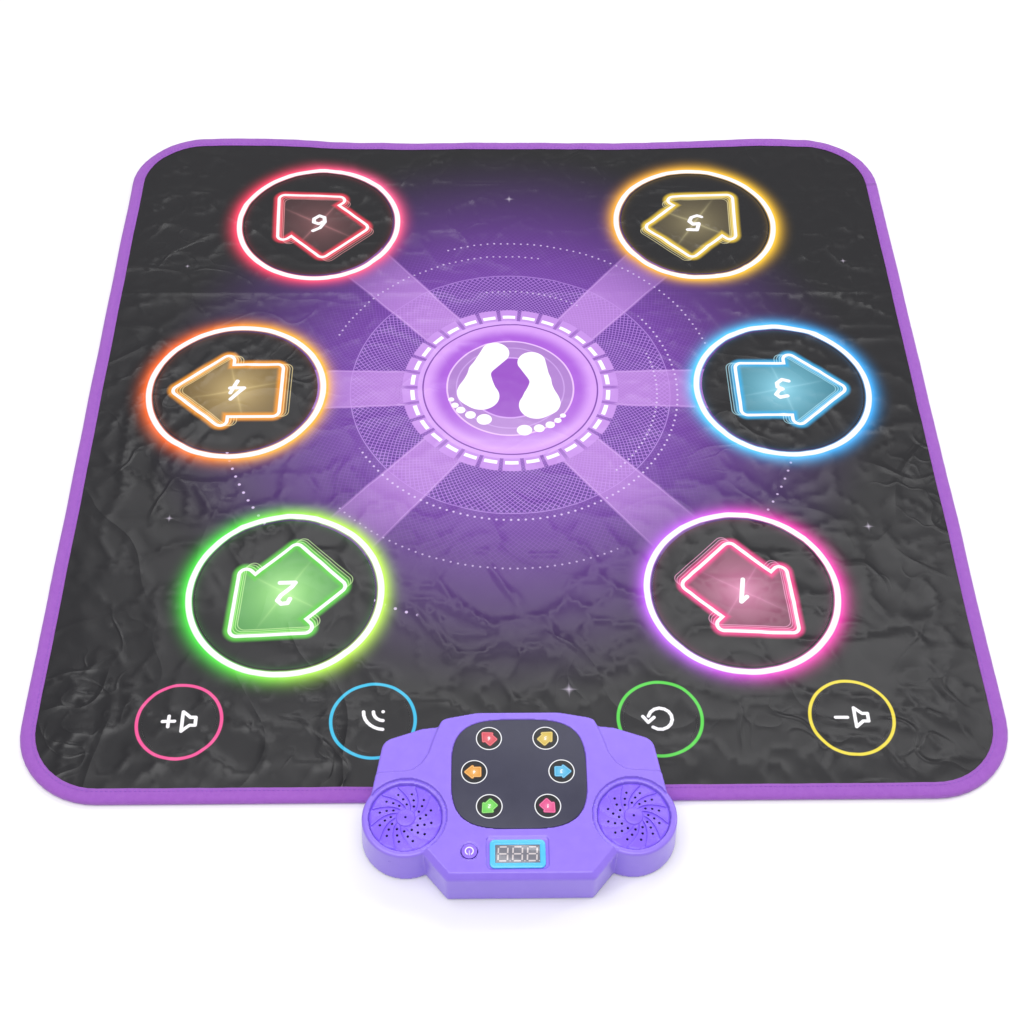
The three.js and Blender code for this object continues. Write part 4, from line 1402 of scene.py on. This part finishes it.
def smooth_step(value, low, high):
    t = np.clip((value - low) / (high - low), 0, 1)
    return t * t * (3 - 2 * t)


def fillet_drop(depth, radius):
    """How far a rounded edge of this radius lies below the top, at a depth inside the outline."""
    reach = np.clip(1 - depth / radius, 0, 1)
    return radius * (1 - np.sqrt(np.maximum(1 - reach * reach, 0)))


middle_field, shoulder_field = outline_field(middle_outline), outline_field(shoulder_outline)
plan_field = smooth_min(middle_field, shoulder_field, 2.0)
step_field = np.minimum(outline_field(step_line), outline_field([(-x, y) for x, y in step_line]))
panel_field, seat_field, window_field = (
    outline_field(outline) for outline in (panel_outline, seat_outline, window_outline))
pod_reach = np.minimum(np.hypot(plan_x - pod_x, plan_y - pod_y), np.hypot(plan_x + pod_x, plan_y - pod_y))
button_reach = np.hypot(plan_x - button_middle[0], plan_y - button_middle[1])
print("plan grid", plan_x.shape, "points,", len(grid_z), "levels")


# %% The shell's field
def top_level(inset):
    """The height of the box's top at each plan point, for its outside (inset 0) or its inside."""
    top = np.full(plan_x.shape, box_top) - (box_top - recess_top) * smooth_step(-step_field, -0.9, 0.9)
    bevel = np.where(plan_y < -40, 0.86 * np.maximum(5.0 + middle_field, 0), 0)
    top = top - np.minimum(bevel, 9) - fillet_drop(-plan_field, 1.5)
    top = np.where(pod_reach < 35.6 + inset, np.minimum(top, pod_top - 0.9), top)
    top = np.where(pod_reach < pocket_radius + inset, np.minimum(top, pocket_floor), top)
    seat_floor = 40.7 + 1.3 * smooth_step(plan_y, -55.4, -51.6)
    top = np.where(seat_field < inset, np.minimum(top, seat_floor), top)
    top = np.where(panel_field < 0.35 + inset, np.minimum(top, 40.6), top)
    return top - inset


def pod_level(inset):
    top = (pod_top - fillet_drop(pod_radius - pod_reach, 2.2)
           - 0.8 * fillet_drop(pod_reach - pocket_radius, 1.2))
    top = np.where(np.abs(pod_reach - 35.2) < 0.45, np.where(plan_field < -1, top - 1.0, top), top)
    return np.where(pod_reach < pocket_radius + inset, pocket_floor, top) - inset


def box_field(inset):
    """The three forms joined, from the outside (inset 0) or set in by the wall."""
    level = grid_z[None, None, :]
    body = np.maximum(plan_field[:, :, None] + inset, level - top_level(inset)[:, :, None])
    flare = pod_flare * np.clip(1 - level / pod_top, 0, 1)
    pods = np.maximum(
        pod_reach[:, :, None] - (pod_radius - inset + flare), level - pod_level(inset)[:, :, None])
    return smooth_min(body, pods, 0.7)


post_places, post_radius, post_bore = ((54, -76), (-54, -76), (84, 32), (-84, 32)), 3.6, 1.6
panel_ledge, sound_opening, button_hole = 4.0, 28.5, 7.05
button_groove_radius, button_groove_half = 8.2, 0.35


def shell_field():
    """The whole shell: the hollow box with its screw posts, openings and the groove round the button."""
    level = grid_z[None, None, :]
    shell = np.maximum(box_field(0.0), -box_field(shell_wall))
    for bx, by in post_places:
        reach = np.hypot(plan_x - bx, plan_y - by)[:, :, None]
        low = 4.0 if by < 0 else 9.2
        post = np.maximum(np.maximum(reach - post_radius, post_bore - reach),
                          np.maximum(low - level, level - (recess_top - 1)))
        shell = np.minimum(shell, post)
    floor = np.where(plan_y > -0.6, 6.4, 1.0)[:, :, None]
    openings = np.minimum(np.minimum(panel_field + panel_ledge, window_field),
                          np.minimum(pod_reach - sound_opening, button_reach - button_hole))[:, :, None]
    shell = np.maximum(np.maximum(shell, floor - level), -np.maximum(openings, 30.0 - level))
    groove = np.abs(button_reach[:, :, None] - button_groove_radius) - button_groove_half
    return np.maximum(shell, -np.maximum(groove, 41.4 - level))


# %% From the field to quads
def field_surface(field):
    """Quads round the zero surface. A cell that it crosses gets one point, at the mean of the crossings."""
    inside = field < 0
    shape = tuple(n - 1 for n in field.shape)
    total, crossings = np.zeros(shape + (3,)), np.zeros(shape)
    for axis in range(3):
        others = [a for a in range(3) if a != axis]
        for corner in ((0, 0), (1, 0), (0, 1), (1, 1)):
            start = [slice(0, -1)] * 3
            for other, shift in zip(others, corner):
                start[other] = slice(shift, shape[other] + shift)
            end = list(start)
            end[axis] = slice(1, None)
            a, b = field[tuple(start)], field[tuple(end)]
            hit = (a < 0) != (b < 0)
            share = np.where(hit, a / np.where(hit, a - b, 1), 0)
            total[..., axis] += np.where(hit, share, 0)
            for other, shift in zip(others, corner):
                total[..., other] += hit * shift
            crossings += hit
    used = crossings > 0
    number = np.full(shape, -1)
    number[used] = np.arange(used.sum())
    points = np.argwhere(used) + total[used] / crossings[used][:, None]
    quads = []
    for axis in range(3):
        b, c = (axis + 1) % 3, (axis + 2) % 3
        lower = [slice(1, -1)] * 3
        lower[axis] = slice(0, -1)
        upper = list(lower)
        upper[axis] = slice(1, None)
        change = inside[tuple(lower)].astype(int) - inside[tuple(upper)]
        for sign in (1, -1):
            at = np.argwhere(change == sign)
            at[:, b] += 1
            at[:, c] += 1
            around = []
            for db, dc in ((-1, -1), (0, -1), (0, 0), (-1, 0))[::sign]:
                near = at.copy()
                near[:, b] += db
                near[:, c] += dc
                around.append(number[near[:, 0], near[:, 1], near[:, 2]])
            quads.append(np.stack(around, axis=1))
    return points, np.concatenate(quads)


def shell_mesh(name):
    points, quads = field_surface(shell_field())
    start = np.array([grid_x[0], grid_y[0], grid_z[0]])
    world = (points * cell + start + np.array([0, box_y, 0])) * MM
    mesh = bpy.data.meshes.new(name)
    mesh.vertices.add(len(world))
    mesh.vertices.foreach_set("co", world.ravel())
    mesh.loops.add(quads.size)
    mesh.loops.foreach_set("vertex_index", quads.ravel())
    mesh.polygons.add(len(quads))
    mesh.polygons.foreach_set("loop_start", np.arange(0, quads.size, 4))
    mesh.polygons.foreach_set("use_smooth", np.ones(len(quads), bool))
    mesh.update(calc_edges=True)
    mesh.validate()
    shell = bpy.data.objects.new(name, mesh)
    bpy.context.scene.collection.objects.link(shell)
    return shell


shell = shell_mesh("box_shell")
print("shell:", len(shell.data.polygons), "quads")
shrink = shell.modifiers.new("fewer faces", "DECIMATE")
shrink.ratio = 0.30
apply_modifiers(shell)
even = shell.modifiers.new("even shading", "WEIGHTED_NORMAL")
even.weight = 80
apply_modifiers(shell)
print("shell after thinning:", len(shell.data.polygons), "faces")

# %% [markdown]
# ## Moulded plastic
# The box is a satin plastic. Close to, a moulding is not smooth: the mould leaves a fine grain, the surface
# dips a little over thick ribs, and handling polishes its edges. Grain and dips are one group and edge wear
# another, and every plastic piece here uses them with its own values.

# %% Grain and wear, as node groups
def solid_place(tree):
    """The place of a point on a rigid piece, in millimetres."""
    node = tree.nodes.new("ShaderNodeTexCoord")
    place = changed_place(tree, "SCALE", node.outputs["Object"], "Scale", 1 / MM)
    split = add_node(tree, "ShaderNodeSeparateXYZ", Vector=place)
    return place, *(Field(tree, split.outputs[k]) for k in range(3))


mould_grain, grain_in, grain_out = new_group(
    "mould grain", {"Place": ("vector", None), "Fineness": ("float", 1.0)},
    {"Height": "float", "Cloud": "float"})
grain_scaled = changed_place(mould_grain, "SCALE", grain_in["Place"].socket, "Scale", grain_in["Fineness"])
grain_fine = noise_field(mould_grain, grain_scaled, 2.4, 3.0, 0.6)
grain_dips = noise_field(mould_grain, grain_in["Place"].socket, 0.035, 2.0, 0.4)
grain_height = grain_fine * 0.16 + grain_dips * 2.2
mould_grain.links.new(grain_height.socket, grain_out.inputs["Height"])
grain_cloud = noise_field(mould_grain, grain_in["Place"].socket, 0.09, 5.0, 0.6)
mould_grain.links.new(grain_cloud.socket, grain_out.inputs["Cloud"])

edge_wear, wear_in, wear_out = new_group(
    "edge wear", {"Place": ("vector", None), "Edge": ("float", 0.5)}, {"Worn": "float"})
wear_noise = noise_field(edge_wear, wear_in["Place"].socket, 0.35, 4.0, 0.7)
wear_worn = wear_in["Edge"].step(0.53, 0.60) * wear_noise.step(0.35, 0.65)
edge_wear.links.new(wear_worn.socket, wear_out.inputs["Worn"])


def plastic(name, dark, light, roughness, wear=0.35, fineness=1.0, depth=0.00022, coat=0.0):
    """A moulded plastic, cloudy between a dark and a light colour, with its edges rubbed lighter."""
    material, tree, shader = new_material(
        name, Specular_IOR_Level=0.5, Coat_Weight=coat, Coat_Roughness=0.12)
    place = solid_place(tree)[0]
    grain = place_group(tree, mould_grain, Place=place, Fineness=fineness)
    geometry_node = tree.nodes.new("ShaderNodeNewGeometry")
    worn = place_group(tree, edge_wear, Place=place, Edge=geometry_node.outputs["Pointiness"])
    cloud, rubbed = Field(tree, grain.outputs["Cloud"]), Field(tree, worn.outputs["Worn"])
    ink = Ink(tree, dark).lay(light, cloud).lay(tuple(min(1, c * 1.5 + 0.02) for c in light), rubbed * wear)
    gloss = cloud * 0.12 - rubbed * 0.08 + (roughness - 0.06)
    join_finish(tree, shader, ink, gloss, grain.outputs["Height"], depth)
    return material


shell_finish = plastic("violet plastic", colour("8a6ce6"), colour("9678ee"), 0.3, coat=0.25)
give(shell, shell_finish, "root", "shell_plastic", "top_shell")
print("plastics ready")

# %% [markdown]
# ## Pieces set into the box
# The light panel, the display's frame and window, and the power button are flat pieces with rounded edges.
# Each is a stack of outlines, one above the other, where each outline is the first one moved in a little.
# That gives an edge a real radius, which is what catches the light.

# %% Stacked outlines
def stack(name, outline_at, levels, closed=False):
    """A piece from outlines at (inset, height in mm) levels. Closed joins the last level to the first."""
    rings = [[(x * MM, (y + box_y) * MM, z * MM) for x, y in outline_at(inset)] for inset, z in levels]
    size = len(rings[0])
    points = [point for ring in rings for point in ring]
    last = (len(rings) - 1) * size
    faces = []
    for ring in range(0, last, size):
        faces += ring_faces(ring, ring + size, size)
    faces += ring_faces(last, 0, size) if closed else end_faces(0, last, size)
    piece = mesh_object(name, points, faces)
    face_outwards(piece, 35)
    return piece


def rounded_levels(low, high, radius, steps=4):
    """Levels of a flat piece whose upper edge has a radius."""
    arc = [(radius * (1 - math.cos(a)), high - radius + radius * math.sin(a))
           for a in (math.pi / 2 * k / steps for k in range(steps + 1))]
    return [(0.15, low), (0.0, low + 0.15)] + arc


def panel_at(inset):
    return shifted(superellipse(panel_half_x - inset, panel_half_y - inset, panel_power), *panel_middle)


def display_at(width, depth, radius):
    return lambda inset: shifted(
        round_rectangle(width / 2 - inset, depth / 2 - inset, max(radius - inset, 0.3)), *display_middle)


def button_at(inset):
    return shifted(circle(0, 0, 6.7 - inset, 48), *button_middle)


# %% [markdown]
# ## The light panel
# A dark sheet of glossy acrylic covers six lamps. Each lamp has a sign over it: a thin white ring with the
# small arrow of one pad. The signs use the mat's own arrow group at a small size.

# %% Light panel
sign_places = {
    "pad_6": (-25.9, 41.3), "pad_5": (23.9, 41.2), "pad_4": (-38.9, 8.5),
    "pad_3": (37.0, 8.5), "pad_2": (-26.0, -24.5), "pad_1": (24.1, -24.6),
}


def nearest_sign(x, y):
    """The place about the nearest sign, the sign's heading as cosine and sine, and a mask for each sign."""
    right, high, low = x.above(0), y.above(24), (y * -1).above(8)
    left = right * -1 + 1
    middle = (high + low) * -1 + 1
    masks = {"pad_6": left * high, "pad_5": right * high, "pad_4": left * middle,
             "pad_3": right * middle, "pad_2": left * low, "pad_1": right * low}
    parts = []
    for pad_name, mask in masks.items():
        angle = math.radians(pad_heading[pad_name])
        parts.append([mask * value for value in (*sign_places[pad_name], math.cos(angle), math.sin(angle))])
    sign_x, sign_y, cosine, sine = (joined(column, "ADD") for column in zip(*parts))
    return x - sign_x, y - sign_y, cosine, sine, masks


sign_scale, sign_radius = 0.118, 11.0


def signed_acrylic():
    material, tree, shader = new_material(
        "dark acrylic", Specular_IOR_Level=0.4, Coat_Weight=0.1, Coat_Roughness=0.2)
    place, x, y, _ = solid_place(tree)
    local_x, local_y, c, s, masks = nearest_sign(x, y - box_y)
    cloud = noise_field(tree, place, 0.05, 4.0, 0.6)
    ink = Ink(tree, colour("2b2b42")).lay(colour("38384f"), cloud)
    near = hypotenuse(local_x, local_y)
    ink.lay(colour("131318"), near.step(11.2, 10.4))
    light, pale, fill = Ink(tree, (0, 0, 0)), Ink(tree, (0, 0, 0)), Ink(tree, (0, 0, 0))
    for pad_name, mask in masks.items():
        for layer, code in zip((light, pale, fill), arrow_light[pad_name]):
            layer.lay(colour(code), mask)
    along = (local_x * c + local_y * s) * (1 / sign_scale)
    across = (local_y * c - local_x * s) * (1 / sign_scale)
    arrow = place_group(tree, neon_arrow, Along=along, Across=across)
    inside, band, tube = (Field(tree, arrow.outputs[label]) for label in ("Inside", "Light", "Tube"))
    ink.lay(fill.value, inside * 0.9)
    ink.lay(light.value, inside.math("MAXIMUM", band) * 0.75)
    ink.lay(pale.value, inside * Field(tree, arrow.outputs["Middle"]) * 0.5)
    ink.lay(pale.value, tube * 0.6)
    digit_x, digit_y = local_x * (-1 / sign_scale), local_y * (-1 / sign_scale)
    digit = joined([strokes_mask(digit_x, digit_y, digits[pad_name[-1]], 2.6) * mask
                    for pad_name, mask in masks.items()], "MAXIMUM")
    ink.lay(white_ink, digit * 0.85)
    ink.lay(colour("eeeef2"), (near - sign_radius).line(0.42, 0.16))
    grain = place_group(tree, mould_grain, Place=place, Fineness=0.4)
    join_finish(tree, shader, ink, cloud * 0.12 + 0.3, grain.outputs["Height"], 0.00012)
    return material


panel = stack("light_panel_cover", panel_at, rounded_levels(40.9, 42.05, 0.6))
give(panel, signed_acrylic(), "root", "dark_acrylic", "light_panel")

# %% [markdown]
# ## The display
# A sky blue frame stands a little proud of its seat, round a grey window. Behind the window are three
# seven-segment digits, all lit, with their glow painted on as a pale colour. A segment is a thin bar, so a
# digit is a distance to seven bars, and folding the digit in half by |y| leaves only four to measure.

# %% Display frame and window
bezel_finish = plastic("sky blue plastic", colour("45bdf2"), colour("59c8f6"), 0.26, coat=0.3)
bezel_levels = [(0.0, 40.9), (0.0, 42.0), (0.25, 42.4), (0.8, 42.6),
                (3.6, 42.6), (4.3, 42.45), (4.75, 42.0), (4.75, 40.9)]
bezel = stack("display_frame", display_at(47, 25.7, 4.4), bezel_levels, closed=True)
give(bezel, bezel_finish, "root", "bezel_plastic", "display_bezel")

digit_half_width, digit_half_height, segment_half, digit_spacing = 3.95, 6.3, 0.62, 12.3


def segment_mask(x, y):
    """1 on the seven bars of a figure eight, which leans a little."""
    x = x - y * 0.05
    side, rise = abs(x), abs(y)
    bar_end = side - (digit_half_width - 1.0)
    flat_bars = rise.math("MINIMUM", abs(rise - digit_half_height))
    flat_bars = flat_bars.math("MAXIMUM", bar_end + segment_half)
    upright = abs(side - digit_half_width).math("MAXIMUM", abs(rise - digit_half_height / 2) - 1.75)
    return flat_bars.math("MINIMUM", upright).step(segment_half + 0.1, segment_half - 0.1)


def display_glass():
    material, tree, shader = new_material(
        "display glass", Specular_IOR_Level=0.5, Coat_Weight=0.5, Coat_Roughness=0.05)
    place, x, y, _ = solid_place(tree)
    x, y = x - display_middle[0], y - (display_middle[1] + box_y)
    cloud = noise_field(tree, place, 0.2, 4.0, 0.6)
    ink = Ink(tree, colour("6e6d79")).lay(colour("7d7c88"), cloud)
    for centre in (-digit_spacing, 0.0, digit_spacing):
        # The lit segments and dots are painted glow: a pale colour on the window, with no lamp of their own.
        ink.lay(colour("d3c9cb"), segment_mask(x - centre, y))
        dot = hypotenuse(x - centre - 5.9, y + digit_half_height)
        ink.lay(colour("c4bcc0"), dot.step(0.65, 0.45))
    dust = noise_field(tree, place, 3.0, 2.0, 0.8).step(0.66, 0.74)
    ink.lay(colour("9a98a2"), dust * 0.35)
    grain = place_group(tree, mould_grain, Place=place, Fineness=0.5)
    join_finish(tree, shader, ink, cloud * 0.1 + 0.16, grain.outputs["Height"], 0.00008)
    return material


window = stack("display_glass_sheet", display_at(37.3, 17.3, 0.8), rounded_levels(40.9, 41.9, 0.2, 2))
give(window, display_glass(), "root", "display_window", "display_window")

# %% [markdown]
# ## The power button
# The button is a short round cap with a soft edge, in a ring-shaped groove. It carries the common power
# sign, an open ring with a bar, printed in pale ink. It rides on its own body, so it sinks when it is
# pressed.

# %% Power button
def button_plastic():
    material = plastic("button plastic", colour("8661e6"), colour("9470f0"), 0.3)
    tree = material.node_tree
    shader = tree.nodes["Principled BSDF"]
    _, x, y, _ = solid_place(tree)
    x, y = x - button_middle[0], y - (button_middle[1] + box_y)
    open_ring = (hypotenuse(x, y) - 3.3).line(0.5, 0.15) * (hypotenuse(x, y + 3.2) - 1.4).step(-0.1, 0.1)
    bar = strokes_mask(x, y, [[(0, -3.6), (0, 0.2)]], 0.25)
    under = shader.inputs["Base Color"].links[0].from_socket
    ink = Ink(tree, under).lay(colour("efe8fb"), open_ring.math("MAXIMUM", bar))
    join_finish(tree, shader, ink)
    return material


button_levels = [(0.1, 39.0), (0.0, 39.2), (0.0, 42.5), (0.25, 42.85),
                 (0.7, 43.0), (1.4, 42.95), (2.0, 42.85), (4.5, 42.8)]
button = stack("power_button_cap", button_at, button_levels)
give(button, button_plastic(), "power_button", "shell_plastic", "power_button")
print("panel, display and button set in")

# %% [markdown]
# ## The loudspeaker grilles
# Each grille is a disc of twelve curved vanes round a hub. A vane rises from one edge to the next and then
# drops sharply, like the blades of a fan, and the two grilles turn opposite ways. The grid of points
# follows the vanes, so each drop is a clean edge. The holes are real: a Boolean modifier cuts them through
# the disc.

# %% Grille discs
vane_count, grille_radius, hub_radius, grille_low, grille_level = 12, 30.9, 8.4, 36.4, 37.5
vane_profile = [(0.0, 0.0), (0.012, -0.15), (0.05, 0.02), (0.2, 0.24), (0.4, 0.5),
                (0.6, 0.76), (0.8, 0.98), (0.95, 1.1), (0.988, 0.95)]
ring_radii = [8.4, 8.9, 9.6] + [9.6 + 2.1 * k for k in range(1, 10)] + [29.4, 30.0, 30.5]


def vane_turn(radius, hand):
    """How far a vane has turned from the hub to this radius, in radians."""
    share = (radius - hub_radius) / (grille_radius - hub_radius)
    return hand * (1.15 * share - 0.35 * share * share)


def grille_disc(name, centre_x, hand):
    points, faces = [], []
    columns = vane_count * len(vane_profile)

    def add_ring(radius, height):
        first = len(points)
        for vane in range(vane_count):
            for share, rise in vane_profile:
                angle = hand * 2 * math.pi * (vane + share) / vane_count + vane_turn(radius, hand)
                points.append(
                    (centre_x + radius * math.cos(angle), pod_y + radius * math.sin(angle), height(rise)))
        return first

    rings = [add_ring(radius, lambda rise, z=z: z)
             for radius, z in ((1.3, 39.0), (5.5, 38.85), (7.6, 38.45), (8.1, 37.9))]
    for radius in ring_radii:
        fade = min(1, (radius - 8.2) / 1.6) * min(1, max(0.0, (30.3 - radius) / 0.8))
        rings.append(add_ring(radius, lambda rise, f=fade: grille_level + (rise - 0.35) * f))
    rings.append(add_ring(grille_radius, lambda rise: grille_level - 0.35))
    rings.append(add_ring(grille_radius, lambda rise: grille_low))
    rings.append(add_ring(1.3, lambda rise: grille_low))
    for first, second in zip(rings, rings[1:]):
        faces += ring_faces(first, second, columns)
    faces += end_faces(rings[0], rings[-1], columns)
    world = [(x * MM, (y + box_y) * MM, z * MM) for x, y, z in points]
    disc = mesh_object(name, world, faces)
    face_outwards(disc, 30)
    return disc


def hole_pins(centre_x, hand):
    """Thin round pins where the holes go: three along each vane and one in the hub."""
    pin_radius, sides = 1.15, 10
    places = [(0.0, 0.0)]
    for vane in range(vane_count):
        for radius, share in ((12.6, 0.5), (17.6, 0.48), (22.6, 0.46)):
            angle = hand * 2 * math.pi * (vane + share) / vane_count + vane_turn(radius, hand)
            places.append((radius * math.cos(angle), radius * math.sin(angle)))
    points, faces = [], []
    for x, y in places:
        first = len(points)
        loop = circle(centre_x + x, pod_y + y, pin_radius, sides)
        points += [(px * MM, (py + box_y) * MM, z * MM) for z in (34, 41) for px, py in loop]
        faces += ring_faces(first, first + sides, sides) + end_faces(first, first + sides, sides)
    return mesh_object("hole_pins", points, faces, smooth=False)


grille_finish = plastic("deep violet plastic", colour("7d58e8"), colour("8b67f0"), 0.27)
for side, hand in (("left", 1), ("right", -1)):
    centre_x = pod_x * (-1 if side == "left" else 1)
    grille = grille_disc("grille_vanes_" + side, centre_x, hand)
    pins = hole_pins(centre_x, hand)
    punch = grille.modifiers.new("holes", "BOOLEAN")
    punch.object = pins
    punch.operation = "DIFFERENCE"
    punch.solver = "EXACT"
    apply_modifiers(grille)
    bpy.data.objects.remove(pins)
    face_outwards(grille, 30)
    give(grille, grille_finish, "root", "grille_plastic", "speaker_grille_" + side)
    print(grille.name, len(grille.data.polygons), "faces")

# %% [markdown]
# ## Inside and underneath
# The rest of the box keeps its model shapes: the base plate, battery door, board, lamps, loudspeakers,
# cells, screws and feet. Each gets the finish of what it is made of. Rubber and pressed paper have a coarse
# grain, plated steel is brushed, a circuit board has copper lines under its green lacquer, and a cell has a
# printed sleeve.

# %% Finishes of the inner pieces
black_finish = plastic("black plastic", colour("1c1c1e"), colour("28282b"), 0.5, wear=0.2)
rubber_finish = plastic(
    "foot rubber", colour("1b1b1c"), colour("2b2b2d"), 0.75, wear=0.1, fineness=0.7, depth=0.0004)
paper_finish = plastic(
    "speaker paper", colour("1a1918"), colour("2c2a28"), 0.85, wear=0.1, fineness=0.5, depth=0.0005)
lens_finish = plastic("milky resin", colour("dcdde2"), colour("f0f1f5"), 0.2, wear=0.1, coat=0.4)


def plated_steel():
    material, tree, shader = new_material("plated steel", Metallic=1.0)
    place = solid_place(tree)[0]
    stretch = add_node(tree, "ShaderNodeMapping", Vector=place, Scale=(0.15, 1.0, 1.0))
    brushed = noise_field(tree, stretch.outputs[0], 2.2, 6.0, 0.7)
    stain = noise_field(tree, place, 0.25, 4.0, 0.6)
    ink = Ink(tree, colour("b4b4b8")).lay(colour("d2d2d6"), brushed)
    ink.lay(colour("8d8a86"), stain.step(0.55, 0.75) * 0.5)
    join_finish(tree, shader, ink, brushed * 0.2 + stain * 0.1 + 0.15, brushed, 0.00005)
    return material


def lacquered_board():
    material, tree, shader = new_material(
        "lacquered board", Specular_IOR_Level=0.5, Coat_Weight=0.4, Coat_Roughness=0.1)
    place, x, y, _ = solid_place(tree)
    wander = noise_field(tree, place, 0.05, 1.0, 0.3)
    lines = abs((x * 0.22 + wander * 3).repeat()).step(0.10, 0.07) * (y * 0.05).repeat().step(-0.3, -0.28)
    cross = abs((y * 0.25 + wander * 2).repeat()).step(0.10, 0.07) * (x * 0.06).repeat().step(-0.1, -0.08)
    copper = lines.math("MAXIMUM", cross)
    ink = Ink(tree, colour("0f4a26")).lay(colour("1e7440"), copper).lay(colour("0c3d20"), wander * 0.5)
    join_finish(tree, shader, ink, wander * 0.15 + 0.25, copper, 0.00006)
    return material


def printed_sleeve():
    material, tree, shader = new_material(
        "printed sleeve", Specular_IOR_Level=0.5, Coat_Weight=0.5, Coat_Roughness=0.1)
    place, x, _, _ = solid_place(tree)
    cloud = noise_field(tree, place, 0.3, 4.0, 0.6)
    ink = Ink(tree, colour("1d4687")).lay(colour("2a5ba6"), cloud).lay(colour("c8cdd6"), x.step(12, 12.4))
    ink.lay(colour("b9bcc2"), abs(x).step(24.1, 24.3))
    join_finish(tree, shader, ink, cloud * 0.15 + 0.2, cloud, 0.0001)
    return material


def open_foam():
    material, tree, shader = new_material("open foam", Roughness=0.95, Specular_IOR_Level=0.2)
    place = solid_place(tree)[0]
    cells = add_node(tree, "ShaderNodeTexVoronoi", Vector=place, Scale=1.1)
    pore = Field(tree, cells.outputs["Distance"])
    cloud = noise_field(tree, place, 0.03, 4.0, 0.6)
    ink = Ink(tree, colour("d9d6cf")).lay(colour("eeece6"), cloud)
    # The pores are darkened with painted shade, where the bump sinks.
    ink.lay(colour("a9a69f"), pore.step(0.35, 0.1) * 0.6)
    join_finish(tree, shader, ink, None, pore, 0.0004)
    return material


def contact_layer():
    material, tree, shader = new_material("contact film", Specular_IOR_Level=0.5)
    place, x, y, _ = solid_place(tree)
    cloud = noise_field(tree, place, 0.02, 4.0, 0.6)
    tracks = abs((x * 0.04 + cloud).repeat()).step(0.06, 0.04).math(
        "MAXIMUM", abs((y * 0.04 - cloud).repeat()).step(0.06, 0.04))
    ink = Ink(tree, colour("c4c9cb")).lay(colour("d8dcdd"), cloud).lay(colour("8f9499"), tracks)
    join_finish(tree, shader, ink, cloud * 0.2 + 0.25, tracks, 0.0001)
    return material


inner_finishes = {
    "shell_plastic": shell_finish,
    "grille_plastic": grille_finish,
    "bezel_plastic": bezel_finish,
    "black_plastic": black_finish,
    "foot_rubber": rubber_finish,
    "speaker_paper": paper_finish,
    "led_lens": lens_finish,
    "steel": plated_steel(),
    "circuit_board": lacquered_board(),
    "battery_wrap": printed_sleeve(),
    "mat_foam": open_foam(),
    "contact_film": contact_layer(),
}

# %% Finishes put on the kept nodes
slot_of = {subpart["node"]: subpart["material_slot"] for subpart in frame["record"]["subparts"]
           if "node" in subpart and "material_slot" in subpart}
print(sorted(set(slot_of.values())), len(slot_of))
kept = [name for name, node in frame["nodes"].items() if not node.hide_render]
for name in kept:
    node = frame["nodes"][name]
    finish = inner_finishes.get(slot_of.get(name, "black_plastic"), black_finish)
    for material_slot in node.material_slots:
        material_slot.material = finish
print(len(kept), "model nodes kept, each with a finish")
